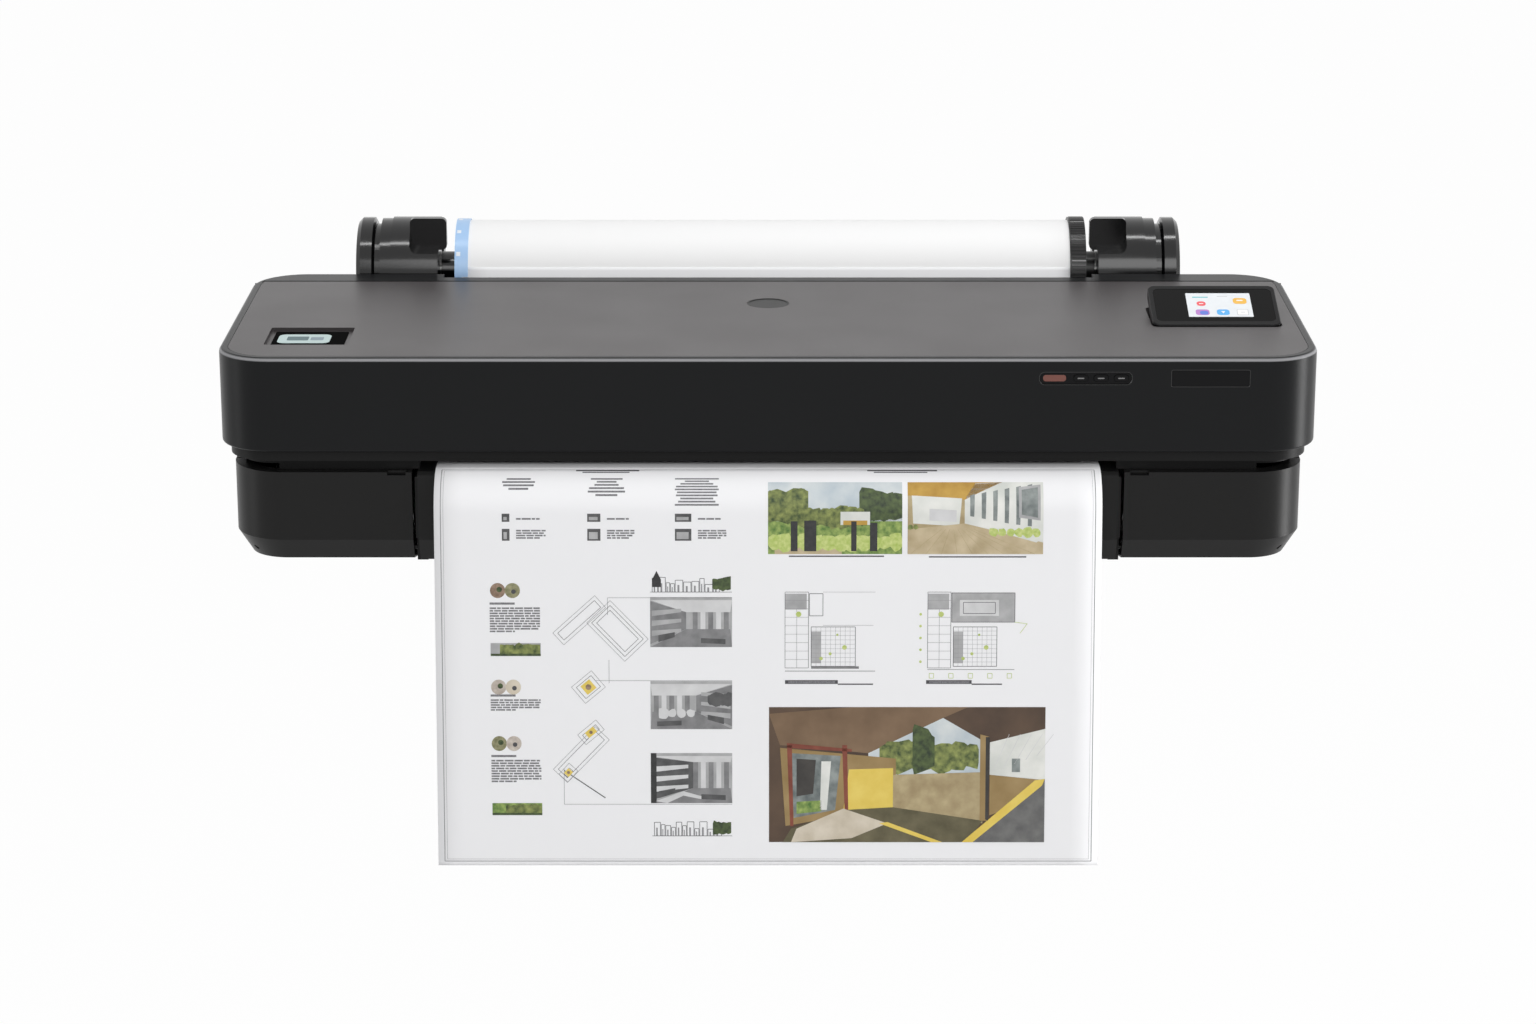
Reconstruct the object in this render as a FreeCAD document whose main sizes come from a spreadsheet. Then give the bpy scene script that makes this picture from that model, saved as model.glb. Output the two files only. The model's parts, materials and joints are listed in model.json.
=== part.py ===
"""A 24 inch desktop large format plotter, as a parametric FreeCAD document.

The frame: X runs to the user's right, Y to the back, Z up. The origin is the centre of the four
stand bolts on the underside, in the plane of the feet. Every size is in millimetres and has its
own cell in the Sizes sheet; every object is bound to those cells.
"""

import math
import os
import re

import FreeCAD
import Part
import Sketcher
from FreeCAD import Placement, Rotation, Vector

SIZES = {
    # overall form
    "cover_width": 1013.0,
    "cover_front": 230.0,
    "cover_back": 113.0,
    "cover_bottom": 148.0,
    "cover_top": 237.0,
    "corner_radius": 50.0,
    "wall": 3.0,
    "edge_round": 4.0,
    "bottom_lip": 12.0,
    "back_step": 4.0,
    "gap": 0.4,
    "lid_gap": 1.0,
    # lower case
    "side_step": 10.5,
    "front_step": 7.0,
    "base_top": 127.0,
    "crease_height": 62.0,
    "chamfer_height": 41.0,
    "chamfer_inset": 13.0,
    "plinth_width": 840.0,
    "plinth_front": 92.0,
    "plinth_back": 80.0,
    "plinth_height": 12.0,
    "liner_top": 137.6,
    "liner_inset": 8.0,
    "seam_width": 3.0,
    "door_gap": 2.2,
    "door_pin_far": 436.0,
    "ear_width": 5.0,
    "ear_size": 5.0,
    "post_width": 10.0,
    "panel_width": 646.0,
    "panel_depth": 34.0,
    "door_depth": 51.0,
    "door_swing_room": 7.0,
    "door_swing_rise": 5.5,
    "door_swing_radius": 35.0,
    "door_latch_width": 17.0,
    "door_latch_inset": 14.0,
    "door_pin_radius": 2.0,
    # lid
    "rim_width": 8.0,
    "ledge_width": 6.0,
    "ledge_thickness": 2.6,
    "lid_thickness": 3.0,
    "lid_back": 80.0,
    "knuckle_radius": 3.0,
    "lid_pin_radius": 1.5,
    "lid_pin_length": 12.0,
    "notch_depth": 18.0,
    "notch_width": 643.0,
    "entry_height": 196.0,
    # display
    "display_width": 121.0,
    "display_depth": 74.0,
    "display_thickness": 11.0,
    "display_radius": 7.0,
    "display_tilt": 17.0,
    "display_x": 423.0,
    "glass_width": 112.0,
    "glass_depth": 60.0,
    "glass_thickness": 1.2,
    "display_pin_radius": 1.2,
    "display_axis_y": 101.0,
    "display_drop": 2.0,
    "display_nose": 6.0,
    "display_round": 1.5,
    "glass_sink": 0.2,
    "well_half": 61.5,
    "well_front": 110.0,
    "well_back": -31.0,
    "well_depth": 11.0,
    "pan_wall": 1.5,
    # status window and badges
    "window_width": 78.0,
    "window_depth": 66.0,
    "window_x": 427.0,
    "window_front": 179.0,
    "window_recess": 3.6,
    "window_radius": 2.0,
    "window_margin": 5.0,
    "label_plate": 0.8,
    "label_skin": 0.3,
    "label_radius": 7.0,
    "badge_radius": 20.0,
    "badge_y": -14.0,
    "badge_sink": 0.8,
    "plate_width": 71.0,
    "plate_height": 15.0,
    "plate_sink": 0.8,
    "plate_radius": 1.5,
    "plate_x": 404.0,
    "strip_width": 84.0,
    "strip_height": 11.0,
    "strip_x": 290.0,
    "strip_radius": 5.4,
    "front_fittings_z": 218.0,
    "strip_sink": 1.2,
    "button_stand": 0.6,
    "button_round": 2.6,
    "led_width": 21.0,
    "button_width": 13.0,
    "button_height": 6.0,
    "button_length": 6.0,
    "button_travel": 1.0,
    "button_pitch": 18.5,
    # feet and stand
    "bolt_spacing_x": 760.0,
    "bolt_spacing_y": 120.0,
    "inlet_x": 430.0,
    "inlet_width": 27.0,
    "inlet_height": 20.0,
    "inlet_z": 85.0,
    "inlet_depth": 24.0,
    "network_x": -400.0,
    "usb_x": -430.0,
    "port_width": 16.0,
    "port_height": 14.0,
    "port_depth": 16.0,
    "port_z": 85.0,
    "foot_radius": 15.0,
    "foot_bore": 6.5,
    "boss_height": 6.0,
    "insert_hole": 2.5,
    "insert_length": 20.0,
    # media
    "paper_width": 610.0,
    "paper_thickness": 0.3,
    "paper_z": 133.0,
    "paper_drop": 330.0,
    "web_start": 18.0,
    "paper_lean": 7.1,
    "exit_bend": 38.0,
    "exit_start": 227.0,
    "roll_radius": 49.5,
    "roll_y": 167.0,
    "roll_z": 229.0,
    "core_radius": 27.0,
    "core_wall": 3.0,
    "entry_bend": 40.0,
    "entry_slope": 75.0,
    "web_gap": 0.3,
    # spindle and its supports
    "rod_radius": 11.0,
    "journal_radius": 9.0,
    "hub_collar_radius": 18.0,
    "black_flange_radius": 52.5,
    "blue_flange_radius": 51.0,
    "blue_flange_width": 7.2,
    "black_flange_width": 12.0,
    "blue_lip": 6.0,
    "black_lip": 4.0,
    "knob_radius": 52.5,
    "knob_inner": 393.0,
    "knob_width": 17.5,
    "ring_width": 11.0,
    "ring_radius": 51.5,
    "drum_width": 18.5,
    "drum_radius": 53.0,
    "block_inner": 329.0,
    "block_width": 28.5,
    "block_front": 38.0,
    "block_drop": 60.0,
    "block_rise": 20.0,
    "head_inner": 321.0,
    "head_front": 28.0,
    "head_low": 26.0,
    "head_high": 58.0,
    "head_thick": 8.0,
    "head_round": 5.0,
    "pocket_round": 8.0,
    "support_back": 20.0,
    "arm_low": 74.0,
    "arm_high": 150.0,
    "arm_clear": 6.0,
    "bush_radius": 12.0,
    "collar_width": 9.0,
    "plug_length": 20.0,
    "support_slot_slope": 40.0,
    # feed works
    "feed_radius": 12.0,
    "feed_y": -50.0,
    "feed_half_length": 322.0,
    "axle_radius": 5.0,
    "bearing_radius": 9.0,
    "shaft_gap": 0.05,
    "exit_radius": 8.0,
    "exit_y": -158.0,
    "pinch_radius": 6.0,
    "pinch_width": 30.0,
    "pinch_pitch": 120.0,
    "wheel_radius": 5.0,
    "wheel_width": 8.0,
    "wheel_pitch": 60.0,
    "frame_thickness": 2.0,
    "plate_front": 186.0,
    "plate_top": 136.0,
    "plate_rear_top": 120.0,
    "bearing_flange": 3.0,
    "tooth_top": 0.9,
    "tooth_root": 1.1,
    "pinion_radius": 8.0,
    "motor_shaft": 2.5,
    "motor_inset": 10.0,
    "motor_radius": 18.0,
    "motor_length": 34.0,
    "pin_shaft": 2.0,
    "rib_width": 3.0,
    "rib_height": 2.0,
    "platen_skirt": 20.0,
    "frame_x": 332.0,
    "gear_radius": 24.0,
    "gear_teeth": 48.0,
    "pinion_teeth": 16.0,
    "gear_width": 6.0,
    "platen_depth": 70.0,
    "platen_front": 142.0,
    "platen_thickness": 5.0,
    "rib_pitch": 30.0,
    # carriage works
    "carriage_width": 92.0,
    "carriage_depth": 78.0,
    "carriage_height": 62.0,
    "carriage_x": 400.0,
    "carriage_y": -109.0,
    "carriage_z": 139.0,
    "guide_radius": 6.0,
    "guide_y": -40.0,
    "guide_z": 176.0,
    "guide_length": 960.0,
    "beam_height": 46.0,
    "beam_depth": 16.0,
    "beam_thickness": 1.6,
    "beam_y": 0.0,
    "beam_bottom": 168.0,
    "pulley_radius": 10.0,
    "pulley_width": 8.0,
    "belt_thickness": 1.4,
    "belt_y": -14.0,
    "belt_z": 202.0,
    "belt_half_span": 462.0,
    "shelf_half": 14.0,
    "shelf_gap": 3.0,
    "belt_gap": 0.3,
    "strip_sheet": 0.4,
    "encoder_height": 8.0,
    "pulley_rim": 1.0,
    "stem_reach": 6.0,
    "carriage_motor": 13.0,
    "carriage_round": 6.0,
    "slider_wall": 10.0,
    "arm_half": 14.0,
    "head_half": 16.0,
    "head_drop": 2.0,
    "cutter_width": 12.0,
    "cutter_depth": 9.0,
    "cutter_height": 26.0,
    "cap_gap": 1.0,
    "station_half": 38.0,
    "ink_width": 27.0,
    "ink_depth": 84.0,
    "ink_height": 60.0,
    "ink_front": 164.0,
    "ink_floor": 52.0,
    "supply_x": 200.0,
    "supply_y": -10.0,
    "supply_width": 180.0,
    "supply_depth": 60.0,
    "supply_height": 50.0,
    "board_width": 240.0,
    "board_depth": 70.0,
    "standoff": 12.0,
    "chip": 24.0,
}

OUT = "parts"
doc = FreeCAD.newDocument("plotter")
sheet = doc.addObject("Spreadsheet::Sheet", "Sizes")
for row, (alias, value) in enumerate(SIZES.items(), start=1):
    sheet.set(f"A{row}", alias)
    sheet.set(f"B{row}", str(value))
    sheet.setAlias(f"B{row}", alias)
doc.recompute()

ALIAS = re.compile(r"\b(" + "|".join(sorted(SIZES, key=len, reverse=True)) + r")\b")
PARTS = []


# ---------------------------------------------------------------- helpers

def cells(text):
    """An expression whose size names are read from the Sizes sheet."""
    return ALIAS.sub(r"Sizes.\1", str(text))


def number(text):
    """What an expression in sizes comes to now, for first guesses and for shapes set by code."""
    return float(sheet.evalExpression(cells(text)))


def bind(thing, prop, text):
    thing.setExpression(prop, cells(text))


def place(thing, x, y, z, rotation=Rotation()):
    thing.Placement = Placement(Vector(), rotation)
    for axis, text in (("x", x), ("y", y), ("z", z)):
        bind(thing, f".Placement.Base.{axis}", text)
    return thing


def export(thing, label):
    """Marks an object as a sub-part of the plotter, under the name of its file."""
    thing.Label = label
    PARTS.append(thing)
    return thing


def box(x, y, z, length, width, height, rotation=Rotation()):
    thing = doc.addObject("Part::Box", "Block")
    for prop, text in (("Length", length), ("Width", width), ("Height", height)):
        bind(thing, prop, text)
    return place(thing, x, y, z, rotation)


def span(x0, x1, y0, y1, z0, z1):
    """A box between two corners."""
    return box(x0, y0, z0, f"({x1}) - ({x0})", f"({y1}) - ({y0})", f"({z1}) - ({z0})")


ALONG = {
    "x": Rotation(Vector(0, 1, 0), 90),
    "y": Rotation(Vector(1, 0, 0), -90),
    "z": Rotation(),
}


def rod(axis, x, y, z, radius, length):
    """A cylinder that starts at a point and runs along +X, +Y or +Z."""
    thing = doc.addObject("Part::Cylinder", "Rod")
    bind(thing, "Radius", radius)
    bind(thing, "Height", length)
    return place(thing, x, y, z, ALONG[axis])


def cut(base, *tools):
    """The base with every tool taken away."""
    thing = doc.addObject("Part::Cut", "Cut")
    thing.Base = base
    thing.Tool = fuse(*tools) if len(tools) > 1 else tools[0]
    return thing


def fuse(*shapes):
    thing = doc.addObject("Part::MultiFuse", "Fusion")
    thing.Shapes = list(shapes)
    return thing


def group(*shapes):
    """Separate solids that share one node."""
    thing = doc.addObject("Part::Compound", "Group")
    thing.Links = list(shapes)
    return thing


def common(*shapes):
    thing = doc.addObject("Part::MultiCommon", "Common")
    thing.Shapes = list(shapes)
    return thing


def rounded(thing, chosen, radius):
    """A fillet of one radius on the edges that a test picks."""
    doc.recompute()
    fillet = doc.addObject("Part::Fillet", "Rounding")
    fillet.Base = thing
    size = number(radius)
    edges = [n for n, e in enumerate(thing.Shape.Edges, start=1) if chosen(e)]
    fillet.Edges = [(n, size, size) for n in edges]
    return fillet


def new_sketch(body, role, offset):
    sketch = body.newObject("Sketcher::SketchObject", "Profile")
    plane = [f for f in body.Origin.OriginFeatures if f.Role == role][0]
    sketch.AttachmentSupport = [(plane, "")]
    sketch.MapMode = "FlatFace"
    bind(sketch, ".AttachmentOffset.Base.z", offset)
    return sketch


def constrain(sketch, kind, *places, text):
    """Adds a dimension to a sketch and ties it to the sheet."""
    index = sketch.addConstraint(Sketcher.Constraint(kind, *places, number(text)))
    sketch.setExpression(f"Constraints[{index}]", cells(text))


def draw_rectangle(sketch, left, right, bottom, top, radius):
    """A rectangle with round corners, every side and the radius bound to the sheet."""
    x0, x1, y0, y1 = (number(t) for t in (left, right, bottom, top))
    r = number(radius)
    corners = [(x0 + r, y0 + r, 180), (x1 - r, y0 + r, 270), (x1 - r, y1 - r, 0), (x0 + r, y1 - r, 90)]
    ends = [((x0 + r, y0), (x1 - r, y0)), ((x1, y0 + r), (x1, y1 - r)),
            ((x1 - r, y1), (x0 + r, y1)), ((x0, y1 - r), (x0, y0 + r))]
    for (ax, ay), (bx, by) in ends:
        sketch.addGeometry(Part.LineSegment(Vector(ax, ay, 0), Vector(bx, by, 0)), False)
    for cx, cy, start in corners:
        circle = Part.Circle(Vector(cx, cy, 0), Vector(0, 0, 1), r)
        first = math.radians(start)
        sketch.addGeometry(Part.ArcOfCircle(circle, first, first + math.pi / 2), False)
    for side, kind in enumerate(["Horizontal", "Vertical", "Horizontal", "Vertical"]):
        arc = 4 + side
        sketch.addConstraint(Sketcher.Constraint("Tangent", (side + 3) % 4, 2, arc, 1))
        sketch.addConstraint(Sketcher.Constraint("Tangent", arc, 2, side, 1))
        sketch.addConstraint(Sketcher.Constraint(kind, side))
    for arc in (5, 6, 7):
        sketch.addConstraint(Sketcher.Constraint("Equal", 4, arc))
    constrain(sketch, "Radius", 4, text=radius)
    constrain(sketch, "DistanceY", -1, 1, 0, 1, text=bottom)
    constrain(sketch, "DistanceX", -1, 1, 1, 1, text=right)
    constrain(sketch, "DistanceY", -1, 1, 2, 1, text=top)
    constrain(sketch, "DistanceX", -1, 1, 3, 1, text=left)


def draw_outline(sketch, points):
    """A closed outline of straight lines through points given as pairs of expressions."""
    spots = [Vector(number(x), number(y), 0) for x, y in points]
    count = len(points)
    for n in range(count):
        sketch.addGeometry(Part.LineSegment(spots[n], spots[(n + 1) % count]), False)
    for n in range(count):
        sketch.addConstraint(Sketcher.Constraint("Coincident", n, 2, (n + 1) % count, 1))
    for n, (x, y) in enumerate(points):
        constrain(sketch, "DistanceX", -1, 1, n, 1, text=x)
        constrain(sketch, "DistanceY", -1, 1, n, 1, text=y)


def slab(left, right, front, back, bottom, top, radius):
    """A pad with a round-cornered outline in plan."""
    body = doc.addObject("PartDesign::Body", "Slab")
    sketch = new_sketch(body, "XY_Plane", bottom)
    draw_rectangle(sketch, left, right, front, back, radius)
    pad = body.newObject("PartDesign::Pad", "Pad")
    pad.Profile = sketch
    bind(pad, "Length", f"({top}) - ({bottom})")
    return body


def upright_slab(left, right, bottom, top, front, back, radius):
    """A pad with a round-cornered outline as seen from the front."""
    body = doc.addObject("PartDesign::Body", "Slab")
    sketch = new_sketch(body, "XZ_Plane", f"-({back})")
    draw_rectangle(sketch, left, right, bottom, top, radius)
    pad = body.newObject("PartDesign::Pad", "Pad")
    pad.Profile = sketch
    bind(pad, "Length", f"({back}) - ({front})")
    return body


def bar(points, left, right):
    """A pad of a (Y, Z) outline, from one X to another."""
    body = doc.addObject("PartDesign::Body", "Bar")
    sketch = new_sketch(body, "YZ_Plane", left)
    draw_outline(sketch, points)
    pad = body.newObject("PartDesign::Pad", "Pad")
    pad.Profile = sketch
    bind(pad, "Length", f"({right}) - ({left})")
    return body


def turned(points, y, z):
    """A revolution about an X axis through (y, z) of an outline in (X, radius)."""
    body = doc.addObject("PartDesign::Body", "Turned")
    sketch = new_sketch(body, "XZ_Plane", "0")
    draw_outline(sketch, points)
    turn = body.newObject("PartDesign::Revolution", "Revolution")
    turn.Profile = sketch
    turn.ReferenceAxis = (sketch, ["H_Axis"])
    turn.Angle = 360.0
    return place(body, "0", y, z)


def loft(sections):
    """A ruled loft through round-cornered rectangles, each (z, left, right, front, back, radius)."""
    body = doc.addObject("PartDesign::Body", "Loft")
    sketches = []
    for z, left, right, front, back, radius in sections:
        sketch = new_sketch(body, "XY_Plane", z)
        draw_rectangle(sketch, left, right, front, back, radius)
        sketches.append(sketch)
    form = body.newObject("PartDesign::AdditiveLoft", "Loft")
    form.Profile = sketches[0]
    form.Sections = sketches[1:]
    form.Ruled = True
    return body


# ---------------------------------------------------------------- places that pieces share

HALF = "cover_width / 2"
BASE_HALF = "(cover_width / 2 - side_step)"
BASE_FRONT = "(front_step - cover_front)"
BASE_BACK = "(cover_back - back_step)"
FLOOR = "(plinth_height + wall)"
SLOT_HALF = "notch_width / 2"
NOTCH_Y = "(cover_back - notch_depth)"
SKIRT_INSET = "(side_step + bottom_lip)"
LID_TOP = "cover_top"
LID_BOTTOM = "(cover_top - lid_thickness)"
PAPER_UNDER = "(paper_z - paper_thickness / 2)"
PAPER_OVER = "(paper_z + paper_thickness / 2)"
HINGE_Z = "(cover_top - knuckle_radius)"
HINGE_Y = "(lid_back - knuckle_radius)"


def ring_insets(inset, z):
    """One section of the lower case: its outline pulled in by an amount, at a height."""
    return (z, f"-{BASE_HALF} + {inset}", f"{BASE_HALF} - ({inset})", f"{BASE_FRONT} + {inset}",
            f"{BASE_BACK} - ({inset})", f"corner_radius - ({inset})")


# ---------------------------------------------------------------- lower case

def plinth_section(inset, z):
    return (z, f"-plinth_width / 2 + {inset}", f"plinth_width / 2 - ({inset})",
            f"-plinth_front + {inset}", f"plinth_back - ({inset})",
            f"corner_radius - chamfer_inset - ({inset})")


def lower_form():
    outer = loft([plinth_section("0", "plinth_height"), ring_insets("chamfer_inset", "chamfer_height"),
                  ring_insets("0", "crease_height"), ring_insets("0", "base_top")])
    inner = loft([plinth_section("wall", FLOOR), ring_insets("chamfer_inset + wall", "chamfer_height + wall"),
                  ring_insets("wall", "crease_height"), ring_insets("wall", "base_top - wall")])
    mouth = slab(f"-{BASE_HALF} + bottom_lip + wall", f"{BASE_HALF} - bottom_lip - wall",
                 f"{BASE_FRONT} + bottom_lip + wall", f"{BASE_BACK} - bottom_lip - wall",
                 "base_top - 2 * wall", "base_top + wall", "corner_radius - bottom_lip - wall")
    return cut(outer, inner, mouth)


def door_zone(side, inset):
    """The block of the lower case's corner that a door takes, on the left (-1) or right (1)."""
    near = f"(panel_width / 2 + seam_width + {inset})"
    back = f"({BASE_FRONT} + door_depth - {inset})"
    x0, x1 = (near, f"({HALF})") if side > 0 else (f"-({HALF})", f"-{near}")
    return span(x0, x1, "-cover_front - wall", back, "plinth_height", "base_top + wall")


def bolt_places():
    return [(f"{sx} * bolt_spacing_x / 2", f"{sy} * bolt_spacing_y / 2") for sx in (-1, 1) for sy in (-1, 1)]


def lower_case():
    form = lower_form()
    reach = "panel_width / 2 + seam_width"
    front = span(f"-({reach})", reach, "-cover_front - wall", f"{BASE_FRONT} + chamfer_inset + wall",
                 "plinth_height", "base_top + wall")
    lip = span(f"-({reach})", reach, "-cover_front - wall", f"{BASE_FRONT} + panel_depth",
               "base_top - 2 * wall", "base_top + wall")
    shell = cut(form, front, lip, door_zone(-1, "0"), door_zone(1, "0"))
    bosses = [rod("z", x, y, "plinth_height", "foot_bore + wall", "boss_height") for x, y in bolt_places()]
    holes = [rod("z", x, y, "0", "foot_bore", "plinth_height + 2 * boss_height") for x, y in bolt_places()]
    inlet = span("inlet_x - inlet_width / 2", "inlet_x + inlet_width / 2", f"{BASE_BACK} - 2 * wall",
                 f"{BASE_BACK} + wall", "inlet_z - inlet_height / 2", "inlet_z + inlet_height / 2")
    ports = [span(f"{x} - port_width / 2", f"{x} + port_width / 2", f"{BASE_BACK} - 2 * wall",
                  f"{BASE_BACK} + wall", "port_z - port_height / 2", "port_z + port_height / 2")
             for x in ("network_x", "usb_x")]
    pin_holes = [rod("x", x, DOOR_PIN_Y, DOOR_PIN_Z, "door_pin_radius", "post_width")
                 for x in (f"{reach} - post_width", f"-({reach})")]
    export(cut(fuse(shell, *bosses, *door_posts()), inlet, *ports, *holes, *pin_holes), "lower_case")
    return form


def door_posts():
    """The posts behind the two front seams, which back the panel's ends and hold the doors' pins."""
    posts = []
    reach = "(panel_width / 2 + seam_width)"
    for x0, x1 in ((f"{reach} - post_width", reach), (f"-{reach}", f"post_width - {reach}")):
        posts.append(span(x0, x1, f"{BASE_FRONT} + 2 * wall", f"{BASE_FRONT} + panel_depth", "crease_height",
                          "base_top - 2 * wall"))
        posts.append(span(x0, x1, f"{BASE_FRONT} + chamfer_inset + wall", f"{BASE_FRONT} + panel_depth",
                          "chamfer_height - wall", "crease_height"))
    return posts


def feet_and_inserts():
    feet = []
    inserts = []
    for x, y in bolt_places():
        foot = rod("z", x, y, "0", "foot_radius", "plinth_height")
        feet.append(cut(foot, rod("z", x, y, "0", "foot_bore", "plinth_height")))
        insert = rod("z", x, y, "0", "foot_bore", "insert_length")
        inserts.append(cut(insert, rod("z", x, y, "0", "insert_hole", "insert_length")))
    export(group(*feet), "rubber_feet")
    export(group(*inserts), "stand_inserts")


def output_panel():
    """The middle of the lower front: a bent panel whose top runs back under the paper to the exit roller."""
    y0, y1 = BASE_FRONT, "(exit_y - exit_radius - 2 * gap)"
    skin = [(y0, "base_top - wall"), (f"{y0} + wall", "base_top"), (y1, "base_top"), (y1, "base_top - wall"),
            (f"{y0} + wall", "base_top - wall"), (f"{y0} + wall", "crease_height"),
            (f"{y0} + chamfer_inset + wall", "chamfer_height + wall / 2"),
            (f"{y0} + chamfer_inset + wall", "chamfer_height - wall / 2"),
            (f"{y0} + chamfer_inset", "chamfer_height - wall / 2"), (y0, "crease_height")]
    export(bar(skin, "-panel_width / 2", "panel_width / 2"), "output_panel")


def door(side, form, label):
    """A corner of the lower case that tilts forward on a pin near its lower edge, with a finger catch."""
    skin = common(form, door_zone(side, "door_gap"))
    middle = f"{side} * (panel_width / 2 + seam_width + door_gap + door_latch_inset)"
    catch = span(f"{middle} - door_latch_width / 2", f"{middle} + door_latch_width / 2",
                 "-cover_front - wall", f"{BASE_FRONT} + 2 * wall", "base_top - wall", "base_top + wall")
    ears = []
    for place_x in ("panel_width / 2 + seam_width + door_gap", "door_pin_far"):
        x = place_x if side > 0 else f"-({place_x}) - ear_width"
        ears.append(span(x, f"{x} + ear_width", f"{BASE_FRONT} + chamfer_inset", DOOR_PIN_Y + " + ear_size",
                         f"{DOOR_PIN_Z} - ear_size", f"{DOOR_PIN_Z} + ear_size"))
    bore = rod("x", f"-({HALF})", DOOR_PIN_Y, DOOR_PIN_Z, "door_pin_radius + shaft_gap", "cover_width")
    return export(cut(fuse(cut(skin, catch), *ears), bore), label)


DOOR_PIN_Y = f"({BASE_FRONT} + chamfer_inset + wall + ear_size)"
DOOR_PIN_Z = "(chamfer_height + ear_size + wall)"


def door_pins():
    """One pin on each side runs through both ears of a door into the case's cheek and side frame."""
    near, far = "panel_width / 2 + seam_width - post_width", "door_pin_far + ear_width"
    pins = [rod("x", near, DOOR_PIN_Y, DOOR_PIN_Z, "door_pin_radius", f"({far}) - ({near})"),
            rod("x", f"-({far})", DOOR_PIN_Y, DOOR_PIN_Z, "door_pin_radius", f"({far}) - ({near})")]
    return pins


# ---------------------------------------------------------------- middle and upper case

def inset_slab(inset, bottom, top):
    """A slab with the cover's outline pulled in by an amount."""
    return slab(f"-({HALF}) + {inset}", f"{HALF} - ({inset})", f"-cover_front + {inset}",
                f"cover_back - ({inset})", bottom, top, f"corner_radius - ({inset})")


def middle_frame():
    """The set-back ring between the lower case and the cover, with the strip that shows under the cover."""
    wide = f"({SKIRT_INSET} - wall)"
    thin = f"({SKIRT_INSET})"
    strip = cut(inset_slab("liner_inset", "liner_top", "cover_bottom"),
                inset_slab(thin, "liner_top - wall", "cover_bottom + wall"))
    ring = cut(inset_slab(wide, "base_top", "cover_bottom"), inset_slab(thin, "base_top - wall",
                                                                        "cover_bottom + wall"))
    mouth = span(f"-{SLOT_HALF}", SLOT_HALF, "-cover_front", "-cover_front + 2 * corner_radius",
                 "base_top - wall",
                 "liner_top")
    entry = span(f"-{SLOT_HALF}", SLOT_HALF, "0", "cover_back", "base_top + 1", "cover_bottom + wall")
    inner = "(door_pin_far + 3 * ear_width)"
    reliefs = [span(x0, x1, "-cover_front", "-cover_front + door_depth + door_swing_room", "base_top - wall",
                    "base_top + door_swing_rise")
               for x0, x1 in ((inner, HALF), (f"-({HALF})", f"-{inner}"))]
    export(cut(fuse(strip, ring), mouth, entry, *reliefs), "middle_frame")


def level_edges(*heights):
    """A test that picks the edges lying flat at any of these heights."""
    levels = [number(h) for h in heights]
    return lambda e: any(abs(e.BoundBox.ZMin - z) < 0.01 and abs(e.BoundBox.ZMax - z) < 0.01 for z in levels)


def upper_cover():
    """The cover's walls, its 8 mm rim round the lid, the ledge that the lid rests on and the rear deck."""
    outer = rounded(inset_slab("0", "cover_bottom", "cover_top"), level_edges("cover_top"), "edge_round")
    outer = rounded(outer, level_edges("cover_bottom"), "wall - gap")
    hollow = inset_slab("wall", "cover_bottom - wall", LEDGE_BOTTOM)
    seat = common(inset_slab("rim_width", LEDGE_TOP, "cover_top + wall"),
                  span(f"-({HALF})", HALF, "-cover_front", "lid_back + gap", LEDGE_TOP, "cover_top + wall"))
    opening = common(inset_slab("rim_width + ledge_width", "cover_bottom", "cover_top + wall"),
                     span(f"-({HALF})", HALF, "-cover_front", "lid_back + gap", "cover_bottom",
                          "cover_top + wall"))
    notch = span(f"-{SLOT_HALF}", SLOT_HALF, NOTCH_Y, "cover_back + wall", "cover_bottom - wall",
                 "cover_top + wall")
    nameplate = upright_slab("plate_x - plate_width / 2 - gap", "plate_x + plate_width / 2 + gap",
                             "front_fittings_z - plate_height / 2 - gap",
                             "front_fittings_z + plate_height / 2 + gap",
                             "-cover_front - wall", "-cover_front + plate_sink", "plate_radius + gap")
    strip = upright_slab("strip_x - strip_width / 2 - gap", "strip_x + strip_width / 2 + gap",
                         "front_fittings_z - strip_height / 2 - gap",
                         "front_fittings_z + strip_height / 2 + gap",
                         "-cover_front - wall", "-cover_front + 2 * wall", "strip_radius + gap")
    barrel_room = span(f"-({HALF}) + rim_width", f"{HALF} - rim_width", f"{HINGE_Y} - knuckle_radius - gap",
                       "lid_back + gap", "cover_bottom", "cover_top + wall")
    bores = [rod("x", f"{start}", HINGE_Y, HINGE_Z, "lid_pin_radius + shaft_gap", "rim_width")
             for start in (f"-({HALF}) + gap", f"{HALF} - gap - rim_width")]
    export(cut(outer, hollow, seat, opening, notch, nameplate, strip, barrel_room, *bores), "upper_cover")


def rear_panel():
    """The plate behind the paper's way in, with the returns that close the notch at each side."""
    wing = "(notch_width / 2 + wall)"
    plate = span(f"-{wing}", wing, f"{NOTCH_Y} - wall", NOTCH_Y, "entry_height", LEDGE_BOTTOM)
    sides = [span(x, f"{x} + wall", f"{NOTCH_Y} - wall", "cover_back - wall", "cover_bottom", LEDGE_BOTTOM)
             for x in (f"-{wing}", "notch_width / 2")]
    export(fuse(plate, *sides), "rear_panel")


LEDGE_TOP = f"({LID_BOTTOM} - gap)"
LEDGE_BOTTOM = f"({LEDGE_TOP} - ledge_thickness)"


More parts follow.
